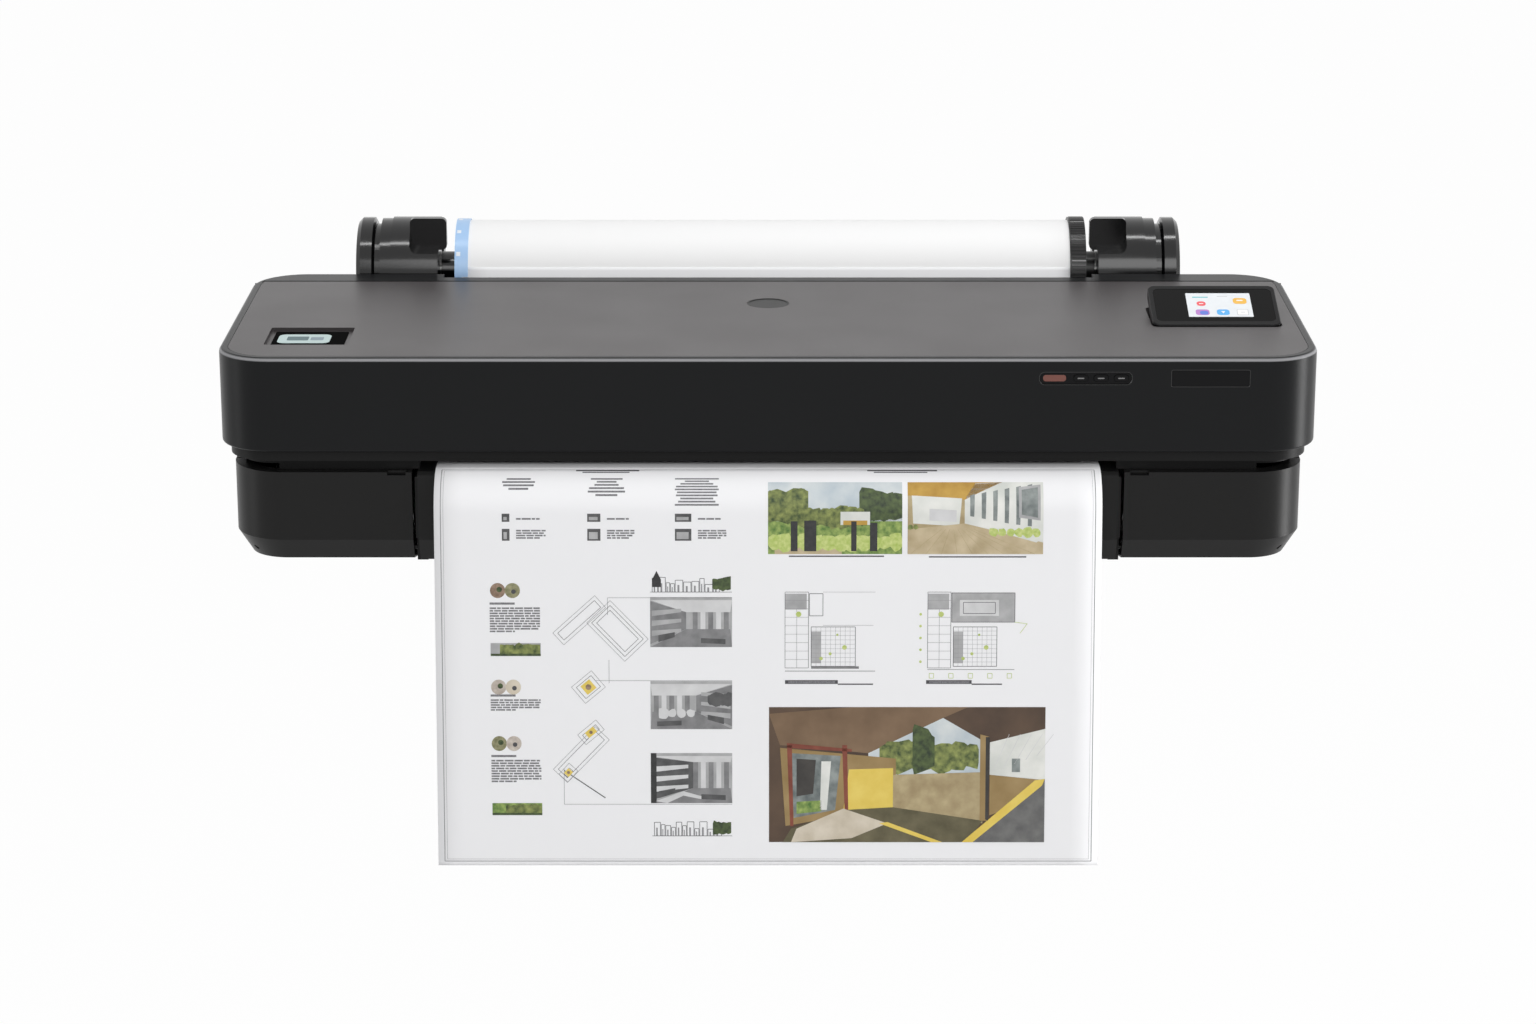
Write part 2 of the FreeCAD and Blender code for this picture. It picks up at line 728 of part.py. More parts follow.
def lid():
    """The flat lid, with the display's well, the label window, the badge seat and the hinge barrel."""
    plate = common(inset_slab("rim_width + gap", LID_BOTTOM, LID_TOP),
                   span(f"-({HALF})", HALF, "-cover_front", HINGE_Y, LID_BOTTOM, LID_TOP))
    barrel = rod("x", f"-({HALF}) + rim_width + gap", HINGE_Y, HINGE_Z, "knuckle_radius",
                 "cover_width - 2 * rim_width - 2 * gap")
    window_pan = span("-window_x - window_width / 2 - pan_wall", "-window_x + window_width / 2 + pan_wall",
                      "-window_front - pan_wall", "window_depth - window_front + pan_wall",
                      f"{LID_TOP} - window_recess - pan_wall", LID_BOTTOM)
    window = slab("-window_x - window_width / 2", "-window_x + window_width / 2", "-window_front",
                  "window_depth - window_front", f"{LID_TOP} - window_recess", "cover_top + wall",
                  "window_radius")
    well_pan = span("display_x - well_half - pan_wall", "display_x + well_half + pan_wall",
                    "-well_front - pan_wall", "well_back + pan_wall", f"{LID_TOP} - well_depth - pan_wall",
                    LID_BOTTOM)
    well = slab("display_x - well_half", "display_x + well_half", "-well_front", "well_back",
                f"{LID_TOP} - well_depth", "cover_top + wall", "display_radius")
    badge_seat = rod("z", "0", "badge_y", f"{LID_TOP} - badge_sink", "badge_radius + gap", "wall")
    pin_holes = rod("x", "display_x - well_half - pan_wall", "-display_axis_y", DISPLAY_Z,
                    "display_pin_radius + shaft_gap", "2 * well_half + 2 * pan_wall")
    bores = [rod("x", start, HINGE_Y, HINGE_Z, "lid_pin_radius + shaft_gap", "lid_pin_length")
             for start in (f"-({HALF}) + rim_width", f"{HALF} - rim_width - lid_pin_length")]
    solid = fuse(plate, barrel, window_pan, well_pan)
    export(cut(solid, window, well, badge_seat, pin_holes, *bores), "lid")


DISPLAY_Z = f"({LID_TOP} - display_drop)"


def lid_pins():
    reach = "lid_pin_length + rim_width - 2 * gap"
    pins = [rod("x", start, HINGE_Y, HINGE_Z, "lid_pin_radius", reach)
            for start in (f"-({HALF}) + 2 * gap", f"{HALF} - 2 * gap - ({reach})")]
    return pins


def lid_fittings():
    """The window's inner plate and label, and the blank round badge."""
    edge = "window_margin"
    plate = slab(f"-window_x - window_width / 2 + {edge}", f"-window_x + window_width / 2 - {edge}",
                 f"-window_front + {edge}", f"window_depth - window_front - {edge}",
                 f"{LID_TOP} - window_recess", f"{LID_TOP} - window_recess + label_plate", "window_radius")
    export(plate, "status_plate")
    label = slab("-window_x - 3 * window_width / 8", "-window_x + window_width / 4",
                 "window_depth / 4 - window_front", "3 * window_depth / 4 - window_front",
                 f"{LID_TOP} - window_recess + label_plate",
                 f"{LID_TOP} - window_recess + label_plate + label_skin",
                 "label_radius")
    export(label, "status_label")
    dish = cut(rod("z", "0", "badge_y", f"{LID_TOP} - badge_sink", "badge_radius", "badge_sink"),
               rod("z", "0", "badge_y", f"{LID_TOP} - badge_sink / 2", "badge_radius - wall / 2",
                   "badge_sink"))
    export(dish, "badge_blank")


def display():
    """The tilting display: a housing with a pin at each side near its front edge, and its glass."""
    tilt = Rotation(Vector(1, 0, 0), number("display_tilt"))
    half, front, back = "display_width / 2", "display_nose", "(display_depth - display_nose)"
    body = slab(f"-{half}", half, f"-{front}", back, "-display_thickness / 2", "display_thickness / 2",
                "display_radius")
    body = rounded(body, level_edges("display_thickness / 2", "-display_thickness / 2"), "display_round")
    recess = slab("-glass_width / 2 - gap / 2", "glass_width / 2 + gap / 2",
                  f"{MID} - glass_depth / 2 - gap / 2",
                  f"{MID} + glass_depth / 2 + gap / 2", "display_thickness / 2 - glass_thickness",
                  "display_thickness", "display_radius - 2 * gap")
    pin = rod("x", "-well_half - pan_wall", "0", "0", "display_pin_radius", "2 * well_half + 2 * pan_wall")
    housing = cut(fuse(body, pin), recess)
    glass = slab("-glass_width / 2", "glass_width / 2", f"{MID} - glass_depth / 2",
                 f"{MID} + glass_depth / 2",
                 "display_thickness / 2 - glass_thickness", "display_thickness / 2 - glass_sink",
                 "display_radius - 3 * gap")
    for thing, label in ((housing, "display_housing"), (glass, "display_glass")):
        place(thing, "display_x", "-display_axis_y", DISPLAY_Z, tilt)
        export(thing, label)


MID = "(display_depth / 2 - display_nose)"


def front_fittings():
    """On the cover's front: the blank nameplate, the strip with its light bar and three buttons."""
    plate = upright_slab("plate_x - plate_width / 2", "plate_x + plate_width / 2",
                         "front_fittings_z - plate_height / 2", "front_fittings_z + plate_height / 2",
                         "-cover_front + plate_sink / 2", "-cover_front + plate_sink", "plate_radius")
    export(plate, "nameplate_blank")
    strip = upright_slab("strip_x - strip_width / 2", "strip_x + strip_width / 2",
                         "front_fittings_z - strip_height / 2", "front_fittings_z + strip_height / 2",
                         "-cover_front + strip_sink", "-cover_front + strip_sink + wall", "strip_radius")
    light_hole = upright_slab(f"{LED_X} - led_width / 2 - gap / 4", f"{LED_X} + led_width / 2 + gap / 4",
                              "front_fittings_z - button_height / 2 - gap / 4",
                              "front_fittings_z + button_height / 2 + gap / 4",
                              "-cover_front", "-cover_front + 3 * wall", "button_round + gap / 4")
    holes = [upright_slab(f"{x} - button_width / 2 - gap", f"{x} + button_width / 2 + gap",
                          "front_fittings_z - button_height / 2 - gap",
                          "front_fittings_z + button_height / 2 + gap",
                          "-cover_front", "-cover_front + 3 * wall",
                          "button_round + gap") for x in button_places()]
    export(cut(strip, light_hole, *holes), "button_strip")
    light = upright_slab(f"{LED_X} - led_width / 2", f"{LED_X} + led_width / 2",
                         "front_fittings_z - button_height / 2", "front_fittings_z + button_height / 2",
                         "-cover_front + strip_sink", "-cover_front + strip_sink + wall", "button_round")
    export(light, "status_light")
    for n, x in enumerate(button_places(), start=1):
        button = upright_slab(f"{x} - button_width / 2", f"{x} + button_width / 2",
                              "front_fittings_z - button_height / 2", "front_fittings_z + button_height / 2",
                              "-cover_front + strip_sink - button_stand",
                              "-cover_front + strip_sink + button_length",
                              "button_round")
        export(button, f"front_button_{n}")
    switch_face = "-cover_front + strip_sink + button_length + button_travel + gap"
    legs = [span(x, f"{x} + wall", "-cover_front + wall", switch_face, "front_fittings_z - strip_height / 2",
                 "front_fittings_z + strip_height / 2")
            for x in ("strip_x - strip_width / 2 - wall - gap", "strip_x + strip_width / 2 + gap")]
    back = span("strip_x - strip_width / 2 - wall - gap", "strip_x + strip_width / 2 + wall + gap",
                switch_face,
                f"{switch_face} + wall", "front_fittings_z - strip_height / 2",
                "front_fittings_z + strip_height / 2")
    export(fuse(back, *legs), "switch_board")


LED_X = "(strip_x - strip_width / 2 + led_width / 2 + wall)"


def button_places():
    return [f"(strip_x + strip_width / 2 - button_width / 2 - wall - {n} * button_pitch)" for n in (2, 1, 0)]


# ---------------------------------------------------------------- roll holder

def arm_outline():
    """The holder's arm, from the lower case's back wall up to the block under the spindle."""
    back = "(roll_y + support_back)"
    front = "(roll_y - block_front)"
    clear = "(cover_back + arm_clear)"
    return [(BASE_BACK, "arm_low"), (BASE_BACK, "base_top - wall"), (clear, "base_top - wall"),
            (clear, "roll_z - block_drop"), (front, "roll_z - block_drop + arm_clear"),
            (front, "roll_z + block_rise"),
            (back, "roll_z + block_rise"), (back, "arm_high")]


def roll_support(side, label):
    """The fixed holder at one end: arm, block, drum, ring and flat head, with a slot to the upper back."""
    def at(start, width):
        return start if side > 0 else f"-({start}) - ({width})"
    x0 = at("block_inner", "block_width")
    block = bar(arm_outline(), x0, f"{x0} + block_width")
    ring_x = at("block_inner + block_width + drum_width", "ring_width")
    drum = rod("x", at("block_inner", "block_width + drum_width"), "roll_y", "roll_z", "drum_radius",
               "block_width + drum_width")
    head_x = at("head_inner", "block_inner + block_width - head_inner")
    head = upright_slab(head_x, f"{head_x} + block_inner + block_width - head_inner", "roll_z + head_low",
                        "roll_z + head_high", "roll_y - head_front", "roll_y - head_front + head_thick",
                        "head_round")
    pocket_x = at("head_inner - drum_radius", "block_inner + block_width - head_inner + drum_radius")
    pocket = upright_slab(pocket_x, f"{pocket_x} + block_inner + block_width - head_inner + drum_radius",
                          "roll_z + head_low", "roll_z + 3 * drum_radius", "roll_y - 2 * drum_radius",
                          "roll_y - head_front", "pocket_round")
    ring = rod("x", ring_x, "roll_y", "roll_z", "ring_radius", "ring_width")
    slot = box("0", "0", "0", "block_width + drum_width + ring_width", "3 * drum_radius",
               "2 * bush_radius + 2 * shaft_gap")
    slope = "support_slot_slope * 1 deg"
    shift = "(bush_radius + shaft_gap)"
    place(slot, at("block_inner", "block_width + drum_width + ring_width"),
          f"roll_y + {shift} * sin({slope})", f"roll_z - {shift} * cos({slope})",
          Rotation(Vector(1, 0, 0), number("support_slot_slope")))
    slot_in_head = box("0", "0", "0", "block_inner - head_inner", "3 * drum_radius",
                       "2 * hub_collar_radius + 2 * lid_gap")
    collar_shift = "(hub_collar_radius + lid_gap)"
    place(slot_in_head, at("head_inner", "block_inner - head_inner"),
          f"roll_y + {collar_shift} * sin({slope})",
          f"roll_z - {collar_shift} * cos({slope})", slot.Placement.Rotation)
    bore = rod("x", at("block_inner", "block_width + drum_width + ring_width"), "roll_y", "roll_z",
               "bush_radius + shaft_gap", "block_width + drum_width + ring_width")
    export(cut(fuse(block, drum, ring, head), slot, bore, slot_in_head, pocket), label)


def spindle():
    """The rod that carries the roll, with journals for the bushes and a squared end for each knob."""
    end, shoulder = "knob_inner", "(block_inner - collar_width - 1)"
    outline = [(f"-{end}", "0"), (f"-{end}", "journal_radius"), (f"-{shoulder}", "journal_radius"),
               (f"-{shoulder}", "rod_radius"), (shoulder, "rod_radius"), (shoulder, "journal_radius"),
               (end, "journal_radius"), (end, "0")]
    export(turned(outline, "roll_y", "roll_z"), "spindle_rod")
    knobs = []
    for side in (-1, 1):
        shape = [("knob_inner", "0"), ("knob_inner", "knob_radius - edge_round"),
                 ("knob_inner + edge_round / 2", "knob_radius"),
                 ("knob_inner + knob_width - edge_round", "knob_radius"),
                 ("knob_inner + knob_width", "knob_radius - edge_round"), ("knob_inner + knob_width", "0")]
        if side < 0:
            shape = [(f"-({x})", r) for x, r in reversed(shape)]
        knobs.append(turned(shape, "roll_y", "roll_z"))
    export(group(*knobs), "end_knobs")
    bushes = []
    for x in ("block_inner", "-block_inner - block_width"):
        bushes.append(cut(rod("x", x, "roll_y", "roll_z", "bush_radius", "block_width"),
                          rod("x", x, "roll_y", "roll_z", "journal_radius + shaft_gap", "block_width")))
    export(group(*bushes), "spindle_bushes")


def hub(side, radius, width, lip, label):
    """A flange that closes one end of the roll: a lip round the paper, a plug in the core, a collar."""
    edge, plug = "(paper_width / 2)", "(core_radius - core_wall - gap / 2)"
    collar = f"({edge} + {width})"
    outline = [(f"{edge} - plug_length", "rod_radius"), (f"{edge} - plug_length", plug), (edge, plug),
               (edge, "roll_radius + gap / 2"), (f"{edge} - ({lip})", "roll_radius + gap / 2"),
               (f"{edge} - ({lip})", radius), (collar, radius), (collar, "hub_collar_radius"),
               ("block_inner - 1", "hub_collar_radius"), ("block_inner - 1", "journal_radius"),
               ("block_inner - collar_width - 1", "journal_radius"),
               ("block_inner - collar_width - 1", "rod_radius")]
    if side < 0:
        outline = [(f"-({x})", r) for x, r in reversed(outline)]
    export(turned(outline, "roll_y", "roll_z"), label)


def roll():
    tube = cut(rod("x", "-paper_width / 2", "roll_y", "roll_z", "core_radius", "paper_width"),
               rod("x", "-paper_width / 2", "roll_y", "roll_z", "core_radius - core_wall", "paper_width"))
    export(tube, "core_tube")
    paper = cut(rod("x", "-paper_width / 2", "roll_y", "roll_z", "roll_radius", "paper_width"),
                rod("x", "-paper_width / 2", "roll_y", "roll_z", "core_radius", "paper_width"))
    export(paper, "paper_roll")


# ---------------------------------------------------------------- paper

def paper_path():
    """The paper's middle line in (Y, Z), as ("line", end) and ("arc", centre, radius, start, sweep) steps."""
    slope, lean = math.radians(number("entry_slope")), math.radians(number("paper_lean"))
    radius = number("roll_radius + web_gap + paper_thickness / 2")
    tangent = (number("roll_y") - radius * math.sin(slope), number("roll_z") + radius * math.cos(slope))
    skip = number("web_start")
    start = (tangent[0] - skip * math.cos(slope), tangent[1] - skip * math.sin(slope))
    entry, level = number("entry_bend"), number("paper_z")
    arc_z = level + entry - entry * math.cos(slope)
    arc_y = start[0] - (start[1] - arc_z) / math.tan(slope)
    centre = (arc_y - entry * math.sin(slope), level + entry)
    bend, front = number("exit_bend"), -number("exit_start")
    low = (front - bend * math.cos(lean), level - bend + bend * math.sin(lean))
    drop = number("paper_drop")
    end = (low[0] - drop * math.sin(lean), low[1] - drop * math.cos(lean))
    return start, centre, (front, level - bend), end, slope, lean


def paper_side(offset):
    """One face of the paper: a wire at a distance above (+) or below (-) its middle line."""
    start, entry_centre, exit_centre, end, slope, lean = paper_path()
    entry, bend = number("entry_bend") - offset, number("exit_bend") + offset

    def on(centre, radius, angle):
        return Vector(0, centre[0] + radius * math.cos(angle), centre[1] + radius * math.sin(angle))
    top = Vector(0, start[0] - offset * math.sin(slope), start[1] + offset * math.cos(slope))
    a0, a1 = slope - math.pi / 2, -math.pi / 2
    b0, b1 = math.pi / 2, math.pi - lean
    points = [on(entry_centre, entry, a0), on(entry_centre, entry, (a0 + a1) / 2),
              on(entry_centre, entry, a1),
              on(exit_centre, bend, b0), on(exit_centre, bend, (b0 + b1) / 2), on(exit_centre, bend, b1)]
    bottom = Vector(0, end[0] - offset * math.cos(lean), end[1] + offset * math.sin(lean))
    edges = [Part.LineSegment(top, points[0]).toShape(), Part.Arc(*points[0:3]).toShape(),
             Part.LineSegment(points[2], points[3]).toShape(), Part.Arc(*points[3:6]).toShape(),
             Part.LineSegment(points[5], bottom).toShape()]
    return edges, top, bottom


def paper_web():
    """The sheet from the roll, round the rear bend, level through the machine and down over the front."""
    half = number("paper_thickness") / 2
    upper, top_a, low_a = paper_side(-half)
    lower, top_b, low_b = paper_side(half)
    ends = [Part.LineSegment(low_a, low_b).toShape(), Part.LineSegment(top_b, top_a).toShape()]
    wire = Part.Wire(Part.__sortEdges__(upper + lower + ends))
    width = number("paper_width")
    web = doc.addObject("Part::Feature", "Web")
    web.Shape = Part.Face(wire).extrude(Vector(width, 0, 0))
    place(web, "-paper_width / 2", "0", "0")
    export(web, "paper_web")


# ---------------------------------------------------------------- inside

def side_plates():
    """The two sheet-metal plates that carry the rollers and, on their rear legs, the carriage beam."""
    outline = [("-plate_front", "plate_top"), ("-plate_front", "crease_height"),
               ("-plinth_front + 2 * wall", FLOOR),
               ("plinth_back - 2 * wall", FLOOR), ("plinth_back - 2 * wall", "plate_rear_top"),
               ("beam_y + beam_depth", "plate_rear_top"), ("beam_y + beam_depth", "beam_bottom"),
               ("beam_y", "beam_bottom"), ("beam_y", "plate_top")]
    plates = []
    for x in ("-frame_x - frame_thickness", "frame_x"):
        plate = bar(outline, x, f"{x} + frame_thickness")
        holes = [rod("x", x, y, z, "bearing_radius", "frame_thickness")
                 for y, z in (("feed_y", FEED_Z), ("exit_y", EXIT_Z))]
        holes.append(rod("x", x, "feed_y", MOTOR_Z, "motor_shaft + wall", "frame_thickness"))
        holes.append(rod("x", x, DOOR_PIN_Y, DOOR_PIN_Z, "door_swing_radius", "frame_thickness"))
        plates.append(cut(plate, *holes))
    export(group(*plates), "side_plates")


FEED_Z = f"({PAPER_UNDER} - web_gap - feed_radius)"
EXIT_Z = f"({PAPER_UNDER} - web_gap - exit_radius)"
PINCH_Z = f"({PAPER_OVER} + web_gap + pinch_radius)"
STAR_Z = f"({PAPER_OVER} + web_gap + wheel_radius)"


def chassis():
    """The floor tray, and the ribbed platen under the print line."""
    tray = span("-plinth_width / 2 + corner_radius", "plinth_width / 2 - corner_radius",
                "-plinth_front + 4 * wall",
                "plinth_back - 4 * wall", FLOOR, f"{FLOOR} + frame_thickness")
    holes = [rod("z", x, y, "plinth_height", "foot_bore + 2 * wall", "4 * boss_height") for x,
             y in bolt_places()]
    slots = [span(x, f"{x} + frame_thickness + gap", "-cover_front", "cover_back", "0", "base_top")
             for x in ("frame_x - gap / 2", "-frame_x - frame_thickness - gap / 2")]
    export(cut(tray, *holes, *slots), "chassis_tray")
    top = f"({PAPER_UNDER} - web_gap)"
    table = span("-frame_x", "frame_x", "-platen_front", "-platen_front + platen_depth",
                 f"{top} - platen_thickness - rib_height", f"{top} - rib_height")
    web = span("-frame_x", "frame_x", "-platen_front + platen_depth - wall", "-platen_front + platen_depth",
               f"{top} - platen_thickness - platen_skirt", f"{top} - platen_thickness")
    ribs = [span(f"{n} * rib_pitch - rib_width / 2", f"{n} * rib_pitch + rib_width / 2", "-platen_front",
                 "-platen_front + platen_depth", f"{top} - rib_height - 1", top)
            for n in range(-int(number("frame_x / rib_pitch")), int(number("frame_x / rib_pitch")) + 1)]
    export(fuse(table, web, *ribs), "platen")


def roller(axis_y, axis_z, radius, label, extra):
    """A roller between the side plates with a thinner axle at each end; extra lengthens the left axle."""
    body, end = "feed_half_length", "(frame_x + frame_thickness - gap)"
    outline = [(f"-({end} + {extra})", "0"), (f"-({end} + {extra})", "axle_radius"),
               (f"-({body})", "axle_radius"),
               (f"-({body})", radius), (body, radius), (body, "axle_radius"), (end, "axle_radius"),
               (end, "0")]
    export(turned(outline, axis_y, axis_z), label)


def gear(teeth, pitch_radius, x, y, z, axle, reach, first, label):
    """A spur gear with straight-sided teeth, its first tooth at an angle from +Y.

    It has a bore for its axle, or with a reach it carries a shaft of that radius that stands out on its +X side.
    """
    count, pitch = int(teeth), number(pitch_radius)
    top, root = pitch + number("tooth_top"), pitch - number("tooth_root")
    step = 2 * math.pi / count
    points = []
    for n in range(count):
        middle = first + n * step
        for share, radius in ((-0.30, root), (-0.12, top), (0.12, top), (0.30, root)):
            angle = middle + share * step
            points.append(Vector(0, radius * math.cos(angle), radius * math.sin(angle)))
    face = Part.Face(Part.makePolygon(points + points[:1]))
    width = number("gear_width")
    solid = face.extrude(Vector(width, 0, 0))
    core = Part.makeCylinder(number(axle), width + number(reach), Vector(), Vector(1, 0, 0))
    wheel = doc.addObject("Part::Feature", "Gear")
    wheel.Shape = solid.fuse(core) if number(reach) > 0 else solid.cut(core)
    place(wheel, x, y, z)
    export(wheel, label)


GEAR_X = "(-frame_x - ear_width - gear_width - 1)"
MOTOR_Z = f"({FEED_Z} - gear_radius - pinion_radius)"


def feed_drive():
    """The feed roller's gear and the motor under it, with its shaft and pinion."""
    gear(number("gear_teeth"), "gear_radius", GEAR_X, "feed_y", FEED_Z, "axle_radius", "0", -math.pi / 2,
         "feed_gear")
    half_step = math.pi / number("pinion_teeth")
    gear(number("pinion_teeth"), "pinion_radius", GEAR_X, "feed_y", MOTOR_Z, "motor_shaft",
         "ear_width + motor_inset", math.pi / 2 + half_step, "motor_pinion")
    body = rod("x", "-frame_x", "feed_y", MOTOR_Z, "motor_radius", "motor_length")
    hole = rod("x", "-frame_x - motor_inset", "feed_y", MOTOR_Z, "motor_shaft + shaft_gap", "motor_length")
    export(cut(body, hole), "feed_motor")


def rows(spacing, reach):
    """Evenly spaced places along X inside the paper's width."""
    count = int(number(f"({reach}) / ({spacing})"))
    return [f"{n} * ({spacing})" for n in range(-count, count + 1)]


def pinch_and_stars():
    """The pinch rollers over the feed roller, the star wheels over the exit roller, and their bars."""
    shaft = rod("x", "-frame_x - ear_width", "feed_y", PINCH_Z, "pin_shaft", "2 * frame_x + 2 * ear_width")
    sleeves = [rod("x", f"{x} - pinch_width / 2", "feed_y", PINCH_Z, "pinch_radius", "pinch_width")
               for x in rows("pinch_pitch", "paper_width / 2")]
    export(fuse(shaft, *sleeves), "pinch_rollers")
    axle = rod("x", "-frame_x - ear_width", "exit_y", STAR_Z, "pin_shaft", "2 * frame_x + 2 * ear_width")
    wheels = [rod("x", f"{x} - wheel_width / 2", "exit_y", STAR_Z, "wheel_radius", "wheel_width")
              for x in rows("wheel_pitch", "paper_width / 2")]
    export(fuse(axle, *wheels), "star_wheels")


def roller_mounts():
    """The bearings of the feed and exit rollers, and the ears on the side plates for the two rows above."""
    mounts = []
    length = "frame_thickness + bearing_flange"
    for y, z in (("feed_y", FEED_Z), ("exit_y", EXIT_Z)):
        for x in ("frame_x - bearing_flange", "-frame_x - frame_thickness"):
            mounts.append(cut(rod("x", x, y, z, "bearing_radius", length),
                              rod("x", x, y, z, "axle_radius + shaft_gap", length)))
    for y, z in (("feed_y", PINCH_Z), ("exit_y", STAR_Z)):
        for x in ("frame_x", "-frame_x - ear_width"):
            ear = span(x, f"{x} + ear_width", f"{y} - ear_size", f"{y} + ear_size", "plate_top",
                       f"{z} + ear_size")
            mounts.append(cut(ear, rod("x", x, y, z, "pin_shaft + shaft_gap", "ear_width")))
    export(group(*mounts), "roller_mounts")


# ---------------------------------------------------------------- carriage and its drive

BEAM_TOP = "(beam_bottom + beam_height)"
PULLEY_Z = "(belt_z - pulley_width / 2)"


def carriage_track():
    """The beam, its end brackets with the guide rod, the encoder strip, and the belt's shelves."""
    channel = cut(span("-guide_length / 2", "guide_length / 2", "beam_y", "beam_y + beam_depth",
                       "beam_bottom", BEAM_TOP),
                  span("-guide_length / 2", "guide_length / 2", "beam_y + beam_thickness",
                       "beam_y + beam_depth",
                       "beam_bottom + beam_thickness", f"{BEAM_TOP} - beam_thickness"))
    ends = [span(x, f"{x} + beam_thickness", "guide_y - 2 * guide_radius", "beam_y + beam_depth",
                 "guide_z - 2 * guide_radius", BEAM_TOP)
            for x in ("-guide_length / 2", "guide_length / 2 - beam_thickness")]
    shelves = [span(x, f"{x} + 2 * shelf_half", "belt_y - shelf_half", "beam_y",
                    f"{PULLEY_Z} - shelf_gap - beam_thickness",
                    f"{PULLEY_Z} - shelf_gap") for x in ("belt_half_span - shelf_half",
                                                         "-belt_half_span - shelf_half")]
    holes = [rod("z", x, "belt_y", "beam_bottom", "motor_shaft + shaft_gap", "beam_height")
             for x in ("belt_half_span", "-belt_half_span")]
    bore = rod("x", "-guide_length / 2", "guide_y", "guide_z", "guide_radius", "guide_length")
    export(cut(fuse(channel, *ends, *shelves), bore, *holes), "carriage_beam")
    export(rod("x", "-guide_length / 2", "guide_y", "guide_z", "guide_radius", "guide_length"), "guide_rod")
    export(span("-guide_length / 2 + beam_depth", "guide_length / 2 - beam_depth", "beam_y - strip_sheet",
                "beam_y",
                f"{BEAM_TOP} - beam_thickness - encoder_height", f"{BEAM_TOP} - beam_thickness"),
           "encoder_strip")


def belt_drive():
    """The carriage motor with its pulley at the right, the idler at the left, and the belt round both."""
    for x, label in (("belt_half_span", "drive_pulley"), ("-belt_half_span", "idler_pulley")):
        wheel = rod("z", x, "belt_y", PULLEY_Z, "pulley_radius", "pulley_width")
        rims = [rod("z", x, "belt_y", z, "pulley_radius + pulley_rim", "pulley_rim")
                for z in (f"{PULLEY_Z} - pulley_rim", f"{PULLEY_Z} + pulley_width")]
        stem = rod("z", x, "belt_y", f"{PULLEY_Z} - shelf_gap - beam_thickness - stem_reach", "motor_shaft",
                   "shelf_gap + beam_thickness + stem_reach + pulley_width")
        export(fuse(wheel, *rims, stem), label)
    body = rod("z", "belt_half_span", "belt_y", f"{PULLEY_Z} - shelf_gap - beam_thickness - motor_length",
               "carriage_motor",
               "motor_length")
    bore = rod("z", "belt_half_span", "belt_y", "beam_bottom - beam_height", "motor_shaft + shaft_gap",
               "2 * beam_height")
    export(cut(body, bore), "carriage_motor")
    thick, radius = "belt_thickness", "(pulley_radius + belt_gap)"
    low, high = f"{PULLEY_Z} + pulley_rim", f"{PULLEY_Z} + pulley_width - pulley_rim"
    outer = [span("-belt_half_span", "belt_half_span", f"belt_y - {radius} - {thick}",
                  f"belt_y + {radius} + {thick}",
                  low, high)]
    inner = [span("-belt_half_span", "belt_half_span", f"belt_y - {radius}", f"belt_y + {radius}", low, high)]
    for x in ("-belt_half_span", "belt_half_span"):
        outer.append(rod("z", x, "belt_y", low, f"{radius} + {thick}", f"({high}) - ({low})"))
        inner.append(rod("z", x, "belt_y", low, radius, f"({high}) - ({low})"))
    export(cut(fuse(*outer), fuse(*inner)), "drive_belt")


def carriage():
    """The print carriage on its rod, with two printheads below and the cutter's housing at its front."""
    x0, x1 = "carriage_x - carriage_width / 2", "carriage_x + carriage_width / 2"
    y0, y1 = "carriage_y - carriage_depth / 2", "carriage_y + carriage_depth / 2"
    shell = slab(x0, x1, y0, y1, "carriage_z", "carriage_z + carriage_height", "carriage_round")
    slider = span(x0, x1, y1 + " - wall", "guide_y + slider_wall", "guide_z - slider_wall",
                  "guide_z + slider_wall")
    arm = span("carriage_x - arm_half", "carriage_x + arm_half", y1 + " - wall",
               "belt_y - pulley_radius - belt_gap - belt_thickness - gap", PULLEY_Z,
               f"{PULLEY_Z} + pulley_width")
    bore = rod("x", x0, "guide_y", "guide_z", "guide_radius + shaft_gap", "carriage_width")
    heads = []
    pockets = []
    for n in (-1, 1):
        middle = f"(carriage_x + {n} * carriage_width / 4)"
        head = (f"{middle} - head_half", f"{middle} + head_half", f"{y0} + carriage_depth / 6",
                f"{y1} - carriage_depth / 6", "carriage_z - head_drop", "carriage_z + carriage_height / 2")
        heads.append(span(*head))
        pockets.append(span(*head))
    cutter = span(f"{x0} + wall", f"{x0} + wall + cutter_width", f"{y0} - cutter_depth", f"{y0} + wall",
                  f"{STAR_Z} + wheel_radius + wall", f"{STAR_Z} + wheel_radius + wall + cutter_height")
    export(cut(fuse(shell, slider, arm, cutter), bore, *pockets), "carriage")
    export(group(*heads), "printheads")


